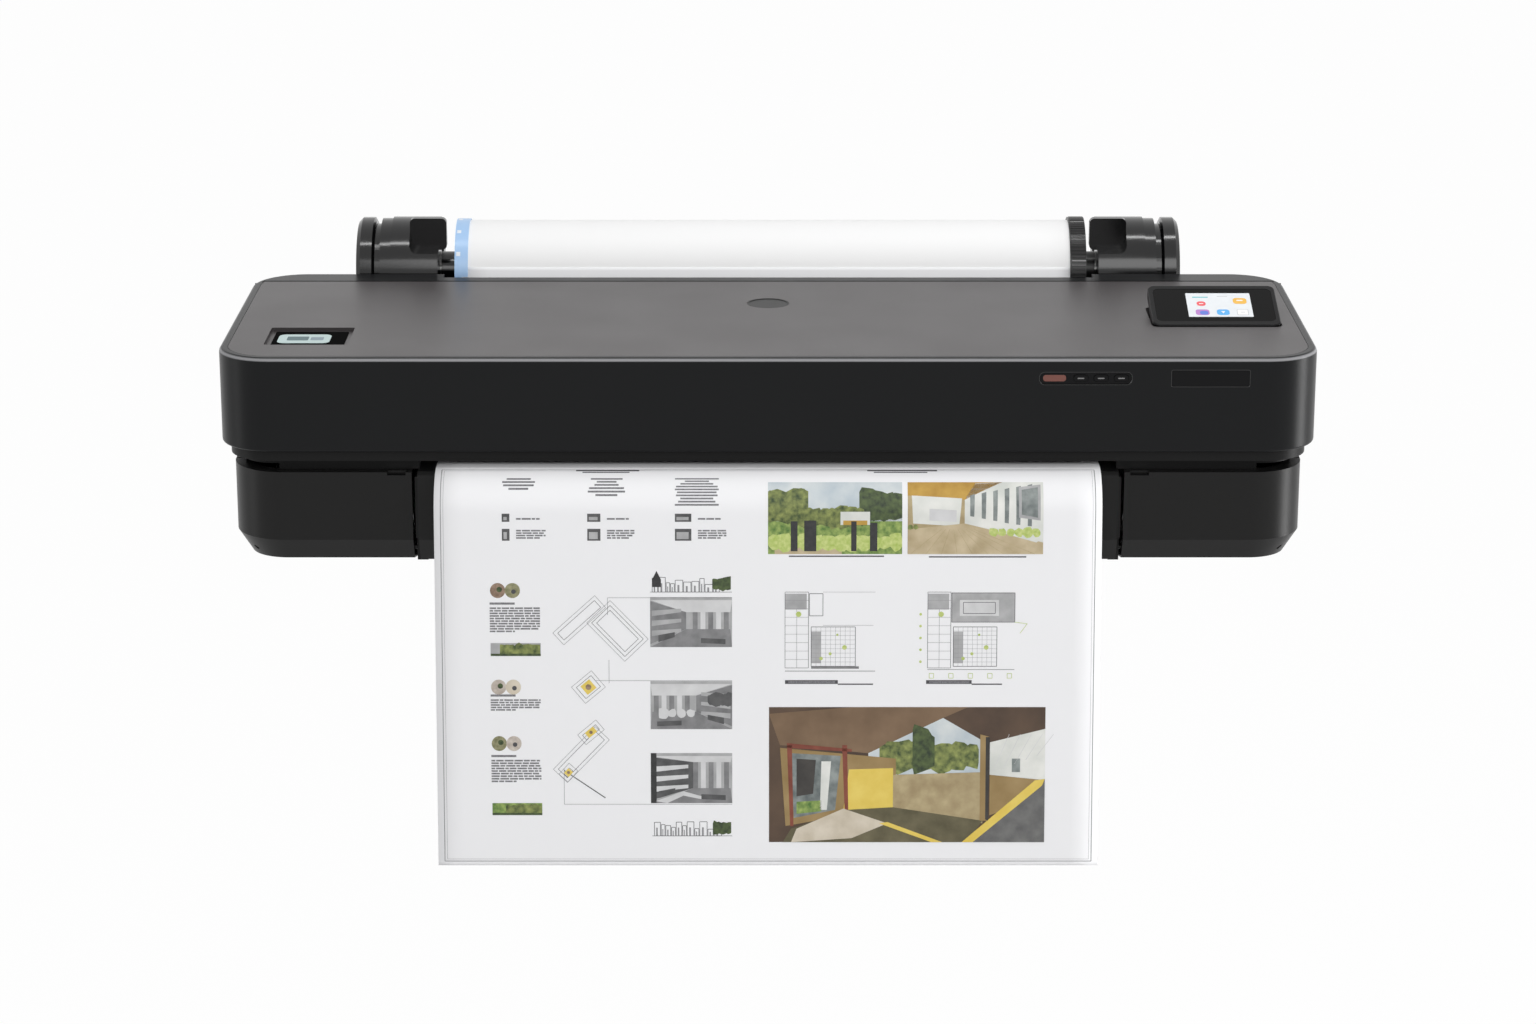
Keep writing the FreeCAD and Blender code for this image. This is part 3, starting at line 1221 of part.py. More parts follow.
def service_and_ink():
    """The capping station under the parked carriage, and the bay with four cartridges at the left."""
    edge = "frame_x + frame_thickness"
    station = span(edge, "carriage_x + carriage_width / 2", "carriage_y - station_half",
                   "carriage_y + station_half",
                   "crease_height", "carriage_z - head_drop - cap_gap")
    basins = [span(f"carriage_x + {n} * carriage_width / 4 - head_half + wall",
                   f"carriage_x + {n} * carriage_width / 4 + head_half - wall",
                   "carriage_y - station_half + 2 * wall",
                   "carriage_y + station_half - 2 * wall", "crease_height + 2 * wall",
                   "carriage_z") for n in (-1, 1)]
    export(cut(station, *basins), "service_station")
    pitch, depth = "(ink_width + 2 * gap + wall)", "(ink_depth + wall)"
    left = f"(-{edge.replace(' + ', ' - ')} - wall - 4 * {pitch})"
    bay = span(left, f"-({edge})", "-ink_front", f"-ink_front + {depth}", "ink_floor - wall",
               "ink_floor + ink_height + 2 * wall")
    slots = []
    cartridges = []
    for n in range(4):
        start = f"({left} + wall + {n} * {pitch})"
        slots.append(span(start, f"{start} + ink_width + 2 * gap", "-ink_front - wall",
                          f"-ink_front + ink_depth",
                          "ink_floor", "ink_floor + ink_height + wall"))
        body = span(f"{start} + gap", f"{start} + gap + ink_width", "-ink_front", "-ink_front + ink_depth",
                    "ink_floor", "ink_floor + ink_height")
        grip = span(f"{start} + gap + ink_width / 4", f"{start} + gap + 3 * ink_width / 4",
                    "-ink_front - wall",
                    "-ink_front", "ink_floor + ink_height / 3", "ink_floor + 2 * ink_height / 3")
        cartridges.append(fuse(body, grip))
    export(group(*cartridges), "ink_cartridges")
    export(cut(bay, *slots), "ink_bay")


def electronics():
    """The supply and the main board on the tray, and the sockets in the back wall."""
    floor = f"({FLOOR} + frame_thickness)"
    case = span("supply_x - supply_width / 2", "supply_x + supply_width / 2", "supply_y",
                "supply_y + supply_depth",
                floor, f"{floor} + supply_height")
    vents = [span(f"supply_x + {n} * supply_width / 8 - wall", f"supply_x + {n} * supply_width / 8 + wall",
                  "supply_y + 2 * wall", "supply_y + supply_depth - 2 * wall",
                  f"{floor} + supply_height - wall",
                  f"{floor} + supply_height + wall") for n in (-3, -2, -1, 0, 1, 2, 3)]
    export(cut(case, *vents), "power_supply")
    x0, x1 = "-supply_x - board_width / 2", "-supply_x + board_width / 2"
    y0, y1 = "supply_y", "supply_y + board_depth"
    board = span(x0, x1, y0, y1, f"{floor} + standoff", f"{floor} + standoff + beam_thickness")
    posts = [rod("z", x, y, floor, "wall", "standoff") for x in (f"{x0} + 2 * wall", f"{x1} - 2 * wall")
             for y in (f"{y0} + 2 * wall", f"{y1} - 2 * wall")]
    chips = [span(f"{x0} + {n} * board_width / 4 - chip / 2", f"{x0} + {n} * board_width / 4 + chip / 2",
                  f"{y0} + board_depth / 2 - chip / 2", f"{y0} + board_depth / 2 + chip / 2",
                  f"{floor} + standoff + beam_thickness",
                  f"{floor} + standoff + beam_thickness + wall") for n in (1, 2, 3)]
    export(fuse(board, *posts, *chips), "main_board")
    socket = span("inlet_x - inlet_width / 2", "inlet_x + inlet_width / 2", f"{BASE_BACK} - inlet_depth",
                  BASE_BACK,
                  "inlet_z - inlet_height / 2", "inlet_z + inlet_height / 2")
    well = span("inlet_x - inlet_width / 2 + wall", "inlet_x + inlet_width / 2 - wall",
                f"{BASE_BACK} - inlet_depth + 2 * wall", f"{BASE_BACK} + wall",
                "inlet_z - inlet_height / 2 + wall", "inlet_z + inlet_height / 2 - wall")
    pins = [span(f"inlet_x + {n} * inlet_width / 5 - 1", f"inlet_x + {n} * inlet_width / 5 + 1",
                 f"{BASE_BACK} - inlet_depth + 2 * wall", f"{BASE_BACK} - wall", "inlet_z - 2", "inlet_z + 2")
            for n in (-1, 0, 1)]
    export(fuse(cut(socket, well), *pins), "power_inlet")
    data_ports = []
    for x in ("network_x", "usb_x"):
        shell = span(f"{x} - port_width / 2", f"{x} + port_width / 2", f"{BASE_BACK} - port_depth", BASE_BACK,
                     "port_z - port_height / 2", "port_z + port_height / 2")
        mouth = span(f"{x} - port_width / 2 + 1", f"{x} + port_width / 2 - 1",
                     f"{BASE_BACK} - port_depth + wall",
                     f"{BASE_BACK} + wall", "port_z - port_height / 2 + 1", "port_z + port_height / 2 - 1")
        data_ports.append(cut(shell, mouth))
    export(group(*data_ports), "data_ports")


# ---------------------------------------------------------------- the whole plotter

def build():
    form = lower_case()
    feet_and_inserts()
    output_panel()
    door(-1, form, "left_door")
    door(1, form, "right_door")
    middle_frame()
    upper_cover()
    rear_panel()
    lid()
    export(group(*lid_pins(), *door_pins()), "hinge_pins")
    lid_fittings()
    display()
    front_fittings()
    roll_support(-1, "left_roll_support")
    roll_support(1, "right_roll_support")
    spindle()
    hub(-1, "blue_flange_radius", "blue_flange_width", "blue_lip", "blue_hub")
    hub(1, "black_flange_radius", "black_flange_width", "black_lip", "black_hub")
    roll()
    paper_web()
    chassis()
    side_plates()
    roller("feed_y", FEED_Z, "feed_radius", "feed_roller", "gear_width + ear_width")
    roller("exit_y", EXIT_Z, "exit_radius", "exit_roller", "0")
    feed_drive()
    pinch_and_stars()
    roller_mounts()
    carriage_track()
    belt_drive()
    carriage()
    service_and_ink()
    electronics()


def check():
    """Stops on any object that failed, and on any sub-part with no shape or a faulty one."""
    failed = [thing.Name for thing in doc.Objects if "Invalid" in thing.State or "Error" in thing.State]
    if failed:
        raise RuntimeError(f"objects failed to recompute: {failed}")
    for thing in PARTS:
        if thing.Shape.isNull() or not thing.Shape.isValid() or not thing.Shape.Solids:
            raise RuntimeError(f"{thing.Label} has no valid solid")


build()
doc.recompute()
check()
os.makedirs(OUT, exist_ok=True)
for thing in PARTS:
    thing.Shape.exportStep(os.path.join(OUT, thing.Label + ".step"))
    print(thing.Label, len(thing.Shape.Solids), round(thing.Shape.Volume / 1000, 1))
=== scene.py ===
"""Looks of a 24 inch desktop plotter with a printed sheet hanging over its front. Lengths in metres."""

import json
import math
import random

import bmesh
import bpy
from mathutils import Matrix, Vector


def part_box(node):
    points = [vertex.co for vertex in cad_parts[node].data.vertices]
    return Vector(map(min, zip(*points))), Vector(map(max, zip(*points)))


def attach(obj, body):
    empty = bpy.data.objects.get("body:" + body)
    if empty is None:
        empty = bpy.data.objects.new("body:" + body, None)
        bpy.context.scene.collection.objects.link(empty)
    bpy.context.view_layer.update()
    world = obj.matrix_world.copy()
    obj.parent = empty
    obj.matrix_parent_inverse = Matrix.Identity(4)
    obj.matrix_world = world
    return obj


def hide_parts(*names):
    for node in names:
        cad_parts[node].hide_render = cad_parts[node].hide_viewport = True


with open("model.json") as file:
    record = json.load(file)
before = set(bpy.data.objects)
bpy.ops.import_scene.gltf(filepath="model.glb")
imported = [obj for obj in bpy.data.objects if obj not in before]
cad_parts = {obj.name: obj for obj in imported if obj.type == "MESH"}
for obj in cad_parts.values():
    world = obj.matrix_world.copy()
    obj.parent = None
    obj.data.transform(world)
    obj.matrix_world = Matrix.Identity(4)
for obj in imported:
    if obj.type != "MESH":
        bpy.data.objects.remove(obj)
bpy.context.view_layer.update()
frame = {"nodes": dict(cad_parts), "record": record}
NODES = frame["nodes"]
MM = 0.001
random.seed(7)


# ---------------------------------------------------------------- materials

def principled(name):
    """A new material and its shader, with the node tree ready for links."""
    material = bpy.data.materials.new(name)
    material.use_nodes = True
    return material, material.node_tree, material.node_tree.nodes["Principled BSDF"]


def node(tree, kind, **values):
    """A node of a kind, with its inputs or properties set by name."""
    made = tree.nodes.new(kind)
    for key, value in values.items():
        if hasattr(made, key):
            setattr(made, key, value)
        else:
            made.inputs[key.replace("_", " ")].default_value = value
    return made


def noise(tree, coords, scale, detail=3.0, stretch=None):
    """A noise texture on object coordinates, stretched along an axis where that is asked for."""
    texture = node(tree, "ShaderNodeTexNoise")
    texture.inputs["Scale"].default_value = scale
    texture.inputs["Detail"].default_value = detail
    source = coords
    if stretch:
        mapping = node(tree, "ShaderNodeMapping")
        mapping.inputs["Scale"].default_value = stretch
        tree.links.new(coords, mapping.inputs["Vector"])
        source = mapping.outputs["Vector"]
    tree.links.new(source, texture.inputs["Vector"])
    return texture.outputs["Fac"]


def remap(tree, value, low, high):
    """A 0 to 1 value spread between two numbers."""
    scaled = node(tree, "ShaderNodeMapRange")
    scaled.inputs["From Min"].default_value = 0.3
    scaled.inputs["From Max"].default_value = 0.7
    scaled.inputs["To Min"].default_value = low
    scaled.inputs["To Max"].default_value = high
    tree.links.new(value, scaled.inputs["Value"])
    return scaled.outputs["Result"]


def blend_colour(tree, value, dark, light):
    mix = node(tree, "ShaderNodeMix", data_type="RGBA")
    mix.inputs["A"].default_value = (*dark, 1)
    mix.inputs["B"].default_value = (*light, 1)
    tree.links.new(value, mix.inputs["Factor"])
    return mix.outputs["Result"]


def moulded(name, colour, roughness, grain=1800, depth=0.06, spread=0.06, coat=0.0, metallic=0.0,
            stretch=None,
            specular=0.5):
    """A moulded or machined surface: fine grain in the bump, slow variation in colour and roughness."""
    material, tree, shader = principled(name)
    coords = node(tree, "ShaderNodeTexCoord").outputs["Object"]
    slow = noise(tree, coords, 9.0, 4.0)
    fine = noise(tree, coords, grain, 2.0, stretch)
    dark = [c * (1 - spread) for c in colour]
    light = [min(1, c * (1 + spread)) for c in colour]
    tree.links.new(blend_colour(tree, slow, dark, light), shader.inputs["Base Color"])
    tree.links.new(remap(tree, slow, roughness * 0.94, roughness * 1.06), shader.inputs["Roughness"])
    bump = node(tree, "ShaderNodeBump")
    bump.inputs["Strength"].default_value = depth
    bump.inputs["Distance"].default_value = 0.0004
    tree.links.new(fine, bump.inputs["Height"])
    tree.links.new(bump.outputs["Normal"], shader.inputs["Normal"])
    shader.inputs["Metallic"].default_value = metallic
    shader.inputs["Coat Weight"].default_value = coat
    shader.inputs["Specular IOR Level"].default_value = specular
    return material


def painted_highlight_on_rounds(material, colour):
    """A painted highlight: a paler colour where the surface turns from upright to level, standing for the
    light that a rounded edge catches.
    """
    tree = material.node_tree
    shader = next(n for n in tree.nodes if n.type == "BSDF_PRINCIPLED")
    base = shader.inputs["Base Color"].links[0].from_socket
    parts = node(tree, "ShaderNodeSeparateXYZ")
    tree.links.new(node(tree, "ShaderNodeNewGeometry").outputs["Normal"], parts.inputs["Vector"])
    rest = node(tree, "ShaderNodeMath", operation="SUBTRACT")
    rest.inputs[0].default_value = 1.0
    tree.links.new(parts.outputs["Z"], rest.inputs[1])
    both = node(tree, "ShaderNodeMath", operation="MULTIPLY")
    tree.links.new(parts.outputs["Z"], both.inputs[0])
    tree.links.new(rest.outputs["Value"], both.inputs[1])
    share = node(tree, "ShaderNodeMapRange")
    share.inputs["From Min"].default_value = 0.10
    share.inputs["From Max"].default_value = 0.24
    tree.links.new(both.outputs["Value"], share.inputs["Value"])
    mix = node(tree, "ShaderNodeMix", data_type="RGBA")
    mix.inputs["B"].default_value = (*colour, 1)
    tree.links.new(base, mix.inputs["A"])
    tree.links.new(share.outputs["Result"], mix.inputs["Factor"])
    tree.links.new(mix.outputs["Result"], shader.inputs["Base Color"])


def grey(value):
    return (value, value, value)


MATERIALS = {
    "case_plastic": moulded("case_plastic", (0.0095, 0.0094, 0.0093), 0.34, depth=0.10, specular=0.17),
    "cover_plastic": moulded("cover_plastic", (0.0060, 0.0064, 0.0070), 0.32, depth=0.10, specular=0.15),
    "lid_plastic": moulded("lid_plastic", (0.040, 0.035, 0.036), 0.40, grain=2400, depth=0.14, spread=0.04),
    "holder_gloss": moulded("holder_gloss", (0.0030, 0.0030, 0.0033), 0.15, depth=0.02, specular=0.45),
    "trim_black": moulded("trim_black", (0.0045, 0.0045, 0.0050), 0.3, depth=0.05, specular=0.12),
    "rubber_black": moulded("rubber_black", grey(0.02), 0.75, grain=900, depth=0.25),
    "brass_insert": moulded("brass_insert", (0.72, 0.52, 0.22), 0.3, metallic=1.0, stretch=(1, 1, 30)),
    "steel": moulded("steel", grey(0.55), 0.28, metallic=1.0, stretch=(0.03, 1, 1)),
    "aluminium_track": moulded("aluminium_track", grey(0.68), 0.38, metallic=1.0, stretch=(0.02, 1, 1)),
    "paper_white": moulded("paper_white", (0.885, 0.885, 0.90), 0.62, grain=700, depth=0.03, spread=0.008),
    "core_board": moulded("core_board", (0.42, 0.31, 0.19), 0.85, grain=500, depth=0.3, stretch=(4, 1, 1)),
    "hub_blue": moulded("hub_blue", (0.38, 0.58, 0.86), 0.3, depth=0.03),
    "screen_glass": moulded("screen_glass", grey(0.004), 0.12, depth=0.0, specular=0.05),
    "label_green": moulded("label_green", (0.50, 0.64, 0.63), 0.4, depth=0.02),
    "light_red": moulded("light_red", (0.17, 0.055, 0.040), 0.35, depth=0.03),
    "inner_plastic": moulded("inner_plastic", grey(0.05), 0.5, depth=0.12),
    "roller_rubber": moulded("roller_rubber", grey(0.04), 0.8, grain=1200, depth=0.3, stretch=(0.2, 1, 1)),
    "motor_can": moulded("motor_can", (0.12, 0.12, 0.13), 0.4, metallic=0.6),
    "circuit_board": moulded("circuit_board", (0.02, 0.13, 0.06), 0.4, grain=300, depth=0.15, spread=0.3),
    "ink_shell": moulded("ink_shell", (0.035, 0.036, 0.04), 0.4, depth=0.08),
}


OWN_FINISH_AND_GAP_SHADE = {
    "hinge_pins": moulded("hinge_pins", grey(0.02), 0.45, metallic=0.5, depth=0.02),
    "status_plate": moulded("status_plate_black", grey(0.008), 0.5, depth=0.05, specular=0.0),
    "badge_blank": moulded("badge_black", grey(0.010), 0.35, depth=0.02, specular=0.1),
    "black_hub": moulded("black_hub", grey(0.007), 0.32, depth=0.05, specular=0.3),
    # The middle frame is a little darker and less shiny than the case: painted shade of the gap between the
    # cover and the base.
    "middle_frame": moulded("middle_frame", grey(0.0085), 0.42, depth=0.12, specular=0.12),
    "paper_roll": moulded("roll_paper", grey(0.90), 0.6, grain=700, depth=0.03, spread=0.008),
}


# The cover's rounded edges get a painted highlight, a paler colour where the surface turns from upright to
# level.
painted_highlight_on_rounds(MATERIALS["cover_plastic"], (0.28, 0.28, 0.29))


def dress_nodes():
    """Every CAD node takes the material of its slot, or its own finish; the middle frame's darker finish is
    painted shade of the gap under the cover.
    """
    for part in frame["record"]["subparts"]:
        name = part["node"]
        mesh = NODES[name].data
        mesh.materials.clear()
        mesh.materials.append(OWN_FINISH_AND_GAP_SHADE.get(name, MATERIALS[part["material_slot"]]))


# ---------------------------------------------------------------- mesh helpers

def add_piece(name, mesh, body, material):
    """A new object for a mesh, riding on a body and taking the material it is given, if any."""
    piece = bpy.data.objects.new(name, mesh)
    bpy.context.scene.collection.objects.link(piece)
    if material:
        mesh.materials.append(material)
    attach(piece, body)
    return piece


def mesh_from(name, vertices, faces):
    mesh = bpy.data.meshes.new(name)
    mesh.from_pydata([tuple(v) for v in vertices], [], faces)
    mesh.update()
    return mesh


def smooth(piece):
    for face in piece.data.polygons:
        face.use_smooth = True


# ---------------------------------------------------------------- the sheet's path

WEB_LOW, WEB_HIGH = (Vector(v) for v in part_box("paper_web"))
ROLL_LOW, ROLL_HIGH = (Vector(v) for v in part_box("paper_roll"))
ROLL_RADIUS = (ROLL_HIGH.z - ROLL_LOW.z) / 2
NECK_LENGTH = 5.2 * MM
NECK_RADIUS = 46 * MM
NECK_GAP = 0.4 * MM
COLLAR_DEPTH = 8.0 * MM  # the blue hub is black from here outwards
ROLL_Y = (ROLL_LOW.y + ROLL_HIGH.y) / 2
ROLL_Z = (ROLL_LOW.z + ROLL_HIGH.z) / 2
SHEET_HALF = WEB_HIGH.x
ENTRY_SLOPE = math.radians(75)
ENTRY_BEND = 40 * MM
EXIT_BEND = 38 * MM
EXIT_START_Y = -227 * MM
LEAN = math.radians(7.1)
LEVEL = 133 * MM
SHEET_THICKNESS = 0.3 * MM


def path_steps():
    """The sheet's middle line from its bottom edge to the roll: functions of the length run, and lengths."""
    exit_centre = (EXIT_START_Y, LEVEL - EXIT_BEND)
    hang_top = (exit_centre[0] - EXIT_BEND * math.cos(LEAN), exit_centre[1] + EXIT_BEND * math.sin(LEAN))
    hang = (hang_top[1] - WEB_LOW.z) / math.cos(LEAN)
    reach = ROLL_RADIUS + 0.45 * MM
    tangent = (ROLL_Y - reach * math.sin(ENTRY_SLOPE), ROLL_Z + reach * math.cos(ENTRY_SLOPE))
    bend_z = LEVEL + ENTRY_BEND * (1 - math.cos(ENTRY_SLOPE))
    bend_y = tangent[0] - (tangent[1] - bend_z) / math.tan(ENTRY_SLOPE)
    entry_centre = (bend_y - ENTRY_BEND * math.sin(ENTRY_SLOPE), LEVEL + ENTRY_BEND)
    rise = (tangent[1] - bend_z) / math.sin(ENTRY_SLOPE)
    quarter = math.pi / 2

    def hanging(run):
        back = hang - run
        return (hang_top[0] - back * math.sin(LEAN), hang_top[1] - back * math.cos(LEAN)), (math.cos(LEAN),
                                                                                            -math.sin(LEAN))

    def exit_arc(run):
        angle = math.pi - LEAN - run / EXIT_BEND
        out = (math.cos(angle), math.sin(angle))
        return (exit_centre[0] + EXIT_BEND * out[0], exit_centre[1] + EXIT_BEND * out[1]), (-out[0], -out[1])

    def level(run):
        return (exit_centre[0] + run, LEVEL), (0, -1)

    def entry_arc(run):
        angle = -quarter + run / ENTRY_BEND
        out = (math.cos(angle), math.sin(angle))
        return (entry_centre[0] + ENTRY_BEND * out[0], entry_centre[1] + ENTRY_BEND * out[1]), out

    def rising(run):
        along = (math.cos(ENTRY_SLOPE), math.sin(ENTRY_SLOPE))
        return (bend_y + run * along[0], bend_z + run * along[1]), (along[1], -along[0])

    return [(hanging, hang), (exit_arc, EXIT_BEND * (quarter - LEAN)),
            (level, entry_centre[0] - exit_centre[0]),
            (entry_arc, ENTRY_BEND * ENTRY_SLOPE), (rising, rise)]


STEPS = path_steps()
SHEET_LENGTH = sum(length for _, length in STEPS)


def on_sheet(u, run, lift=0.0):
    """A point on the sheet, u across and run up from its bottom edge, lifted off its printed face."""
    left = run
    for step, length in STEPS:
        if left <= length or step is STEPS[-1][0]:
            (y, z), back = step(left)
            break
        left -= length
    return Vector((u, y - back[0] * lift, z - back[1] * lift))


# ---------------------------------------------------------------- the sheet and its print

def printed_sheet():
    """The paper from its cut edge to the roll, one closed sheet of real thickness."""
    rows = [SHEET_LENGTH * i / 260 for i in range(261)]
    columns = [-SHEET_HALF + 2 * SHEET_HALF * i / 24 for i in range(25)]
    half = SHEET_THICKNESS / 2
    vertices = [on_sheet(u, v, side * half) for side in (1, -1) for v in rows for u in columns]
    wide = len(columns)
    layer = wide * len(rows)
    faces = []
    for j in range(len(rows) - 1):
        for i in range(wide - 1):
            a = j * wide + i
            faces.append((a, a + 1, a + wide + 1, a + wide))
            faces.append((layer + a, layer + a + wide, layer + a + wide + 1, layer + a + 1))
    rim = [i for i in range(wide)] + [j * wide + wide - 1 for j in range(1, len(rows))]
    rim += [(len(rows) - 1) * wide + i for i in range(wide - 2, -1,
                                                      -1)] + [j * wide for j in range(len(rows) - 2, 0, -1)]
    for a, b in zip(rim, rim[1:] + rim[:1]):
        faces.append((b, a, layer + a, layer + b))
    piece = add_piece("printed_sheet", mesh_from("printed_sheet", vertices, faces), "root",
                      MATERIALS["paper_white"])
    smooth(piece)
    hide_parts("paper_web")
    return piece


INKS = {}


def ink(name, dark, light=None, scale=260.0, stretch=None):
    """An ink on paper that varies between two colours at a grain."""
    if name not in INKS:
        material, tree, shader = principled("ink_" + name)
        coords = node(tree, "ShaderNodeTexCoord").outputs["Object"]
        light = light or [min(1, c * 1.15 + 0.004) for c in dark]
        grain = remap(tree, noise(tree, coords, scale, 5.0, stretch), 0, 1)
        tree.links.new(blend_colour(tree, grain, dark, light), shader.inputs["Base Color"])
        shader.inputs["Roughness"].default_value = 0.6
        INKS[name] = material
    return name


def make_inks():
    ink("line", (0.05, 0.05, 0.055))
    ink("fine", (0.25, 0.25, 0.26))
    ink("text", (0.10, 0.10, 0.11), (0.28, 0.28, 0.29), 900)
    ink("black", (0.012, 0.012, 0.013), (0.03, 0.03, 0.03))
    ink("sky", (0.42, 0.50, 0.56), (0.72, 0.75, 0.74), 30)
    ink("haze", (0.62, 0.64, 0.60), (0.82, 0.82, 0.78), 40)
    ink("leaf", (0.020, 0.045, 0.012), (0.30, 0.34, 0.10), 170)
    ink("leaf_dark", (0.012, 0.024, 0.010), (0.09, 0.13, 0.04), 200)
    ink("grass", (0.07, 0.16, 0.03), (0.34, 0.44, 0.12), 220)
    ink("sand", (0.42, 0.33, 0.19), (0.60, 0.50, 0.33), 60)
    ink("stone", (0.52, 0.45, 0.34), (0.70, 0.63, 0.52), 50)
    ink("path", (0.33, 0.25, 0.13), (0.48, 0.39, 0.22), 80)
    ink("ceiling", (0.045, 0.025, 0.015), (0.10, 0.06, 0.035), 25)
    ink("ceiling_light", (0.14, 0.085, 0.045), (0.22, 0.14, 0.08), 30)
    ink("ochre", (0.40, 0.22, 0.03), (0.58, 0.36, 0.07), 60)
    ink("wall", (0.26, 0.17, 0.06), (0.36, 0.25, 0.11), 40)
    ink("floor", (0.075, 0.065, 0.03), (0.15, 0.13, 0.07), 60)
    ink("shade", (0.02, 0.018, 0.016), (0.05, 0.045, 0.04), 60)
    ink("red", (0.16, 0.035, 0.02), (0.26, 0.07, 0.04), 80)
    ink("asphalt", (0.10, 0.10, 0.10), (0.17, 0.17, 0.165), 90)
    ink("window", (0.10, 0.12, 0.12), (0.30, 0.33, 0.32), 90)
    ink("yellow", (0.72, 0.52, 0.08), (0.80, 0.62, 0.14), 60)
    ink("lime", (0.38, 0.50, 0.10), (0.60, 0.66, 0.26), 300)
    ink("grey_1", (0.055, 0.056, 0.058), (0.11, 0.11, 0.112), 120)
    ink("grey_2", (0.16, 0.16, 0.165), (0.26, 0.26, 0.265), 90)
    ink("grey_3", (0.34, 0.34, 0.345), (0.46, 0.46, 0.465), 80)
    ink("grey_4", (0.58, 0.58, 0.585), (0.70, 0.70, 0.705), 60)
    ink("umber", (0.13, 0.075, 0.045), (0.34, 0.24, 0.17), 240)
    ink("olive", (0.14, 0.14, 0.06), (0.36, 0.34, 0.20), 240)
    ink("blush", (0.40, 0.34, 0.29), (0.62, 0.56, 0.50), 240)


PRINT_LIFT = 0.06 * MM
LAYER_LIFT = 0.03 * MM
STRAIGHT_RUN = STEPS[0][1]
CURVE_STEP = 2 * MM


def lay_on_sheet(name, shapes):
    """Flat shapes given as (ink, points in millimetres, layer) bent onto the printed face of the sheet."""
    flat = bmesh.new()
    used = []
    for colour, points, layer in shapes:
        if colour not in used:
            used.append(colour)
        corners = [flat.verts.new((u * MM, v * MM, PRINT_LIFT + layer * LAYER_LIFT)) for u, v in points]
        face = flat.faces.new(corners)
        face.material_index = used.index(colour)
        if face.calc_area() and face.normal.z < 0:
            face.normal_flip()
    flat.normal_update()
    for face in flat.faces:
        if face.normal.z < 0:
            face.normal_flip()
    highest = max(v.co.y for v in flat.verts)
    cut_at = STRAIGHT_RUN
    while cut_at < highest:
        bmesh.ops.bisect_plane(flat, geom=flat.verts[:] + flat.edges[:] + flat.faces[:],
                               plane_co=(0, cut_at, 0),
                               plane_no=(0, 1, 0))
        cut_at += CURVE_STEP
    for vert in flat.verts:
        vert.co = on_sheet(vert.co.x, vert.co.y, SHEET_THICKNESS / 2 + vert.co.z)
    mesh = bpy.data.meshes.new(name)
    bmesh.ops.triangulate(flat, faces=[f for f in flat.faces if len(f.verts) > 4])
    flat.to_mesh(mesh)
    flat.free()
    piece = add_piece(name, mesh, "root", None)
    for colour in used:
        mesh.materials.append(INKS[colour])
    return piece


def patch(colour, left, right, low, high, layer=1):
    return (colour, [(left, low), (right, low), (right, high), (left, high)], layer)


def stroke(colour, start, end, width=0.35, layer=2):
    """A straight line of a width between two points."""
    along = Vector(end) - Vector(start)
    side = Vector((-along.y, along.x)).normalized() * (width / 2)
    corners = [Vector(start) + side, Vector(start) - side, Vector(end) - side, Vector(end) + side]
    return (colour, [tuple(c) for c in corners], layer)


def outline(colour, points, width=0.35, layer=2):
    return [stroke(colour, a, b, width, layer) for a, b in zip(points, points[1:] + points[:1])]


def frame_lines(colour, left, right, low, high, width=0.35, layer=2):
    return outline(colour, [(left, low), (right, low), (right, high), (left, high)], width, layer)


def disc(colour, u, v, radius, layer=1, sides=28):
    turn = 2 * math.pi / sides
    return (colour, [(u + radius * math.cos(i * turn),
                      v + radius * math.sin(i * turn)) for i in range(sides)], layer)


def text_block(left, right, low, high, lines, last=0.6):
    """Lines of plain bars broken into words, standing for text."""
    shapes = []
    pitch = (high - low) / lines
    for line in range(lines):
        top = high - line * pitch
        stop = right if line < lines - 1 else left + (right - left) * last
        u = left
        while u < stop - 1.5:
            word = min(random.uniform(3, 9), stop - u)
            shapes.append(patch("text", u, u + word, top - pitch * 0.62, top, 1))
            u += word + 0.9
    return shapes


def centred_lines(centre, high, widths, pitch):
    shapes = []
    for line, width in enumerate(widths):
        top = high - line * pitch
        shapes.append(patch("text", centre - width / 2, centre + width / 2, top - pitch * 0.55, top, 1))
    return shapes


def bushes(colour, left, right, base, tall, count, layer):
    """A clump of leaves: overlapping rough discs along a line."""
    shapes = []
    for i in range(count):
        u = left + (right - left) * (i + 0.5) / count
        radius = tall * random.uniform(0.34, 0.52)
        points = []
        for k in range(11):
            angle = 2 * math.pi * k / 11
            reach = radius * random.uniform(0.78, 1.12)
            spot = max(left, min(right, u + reach * math.cos(angle)))
            points.append((spot, max(base, base + tall / 2 + reach * math.sin(angle))))
        shapes.append((colour, points, layer + 0.1 * i))
    return shapes


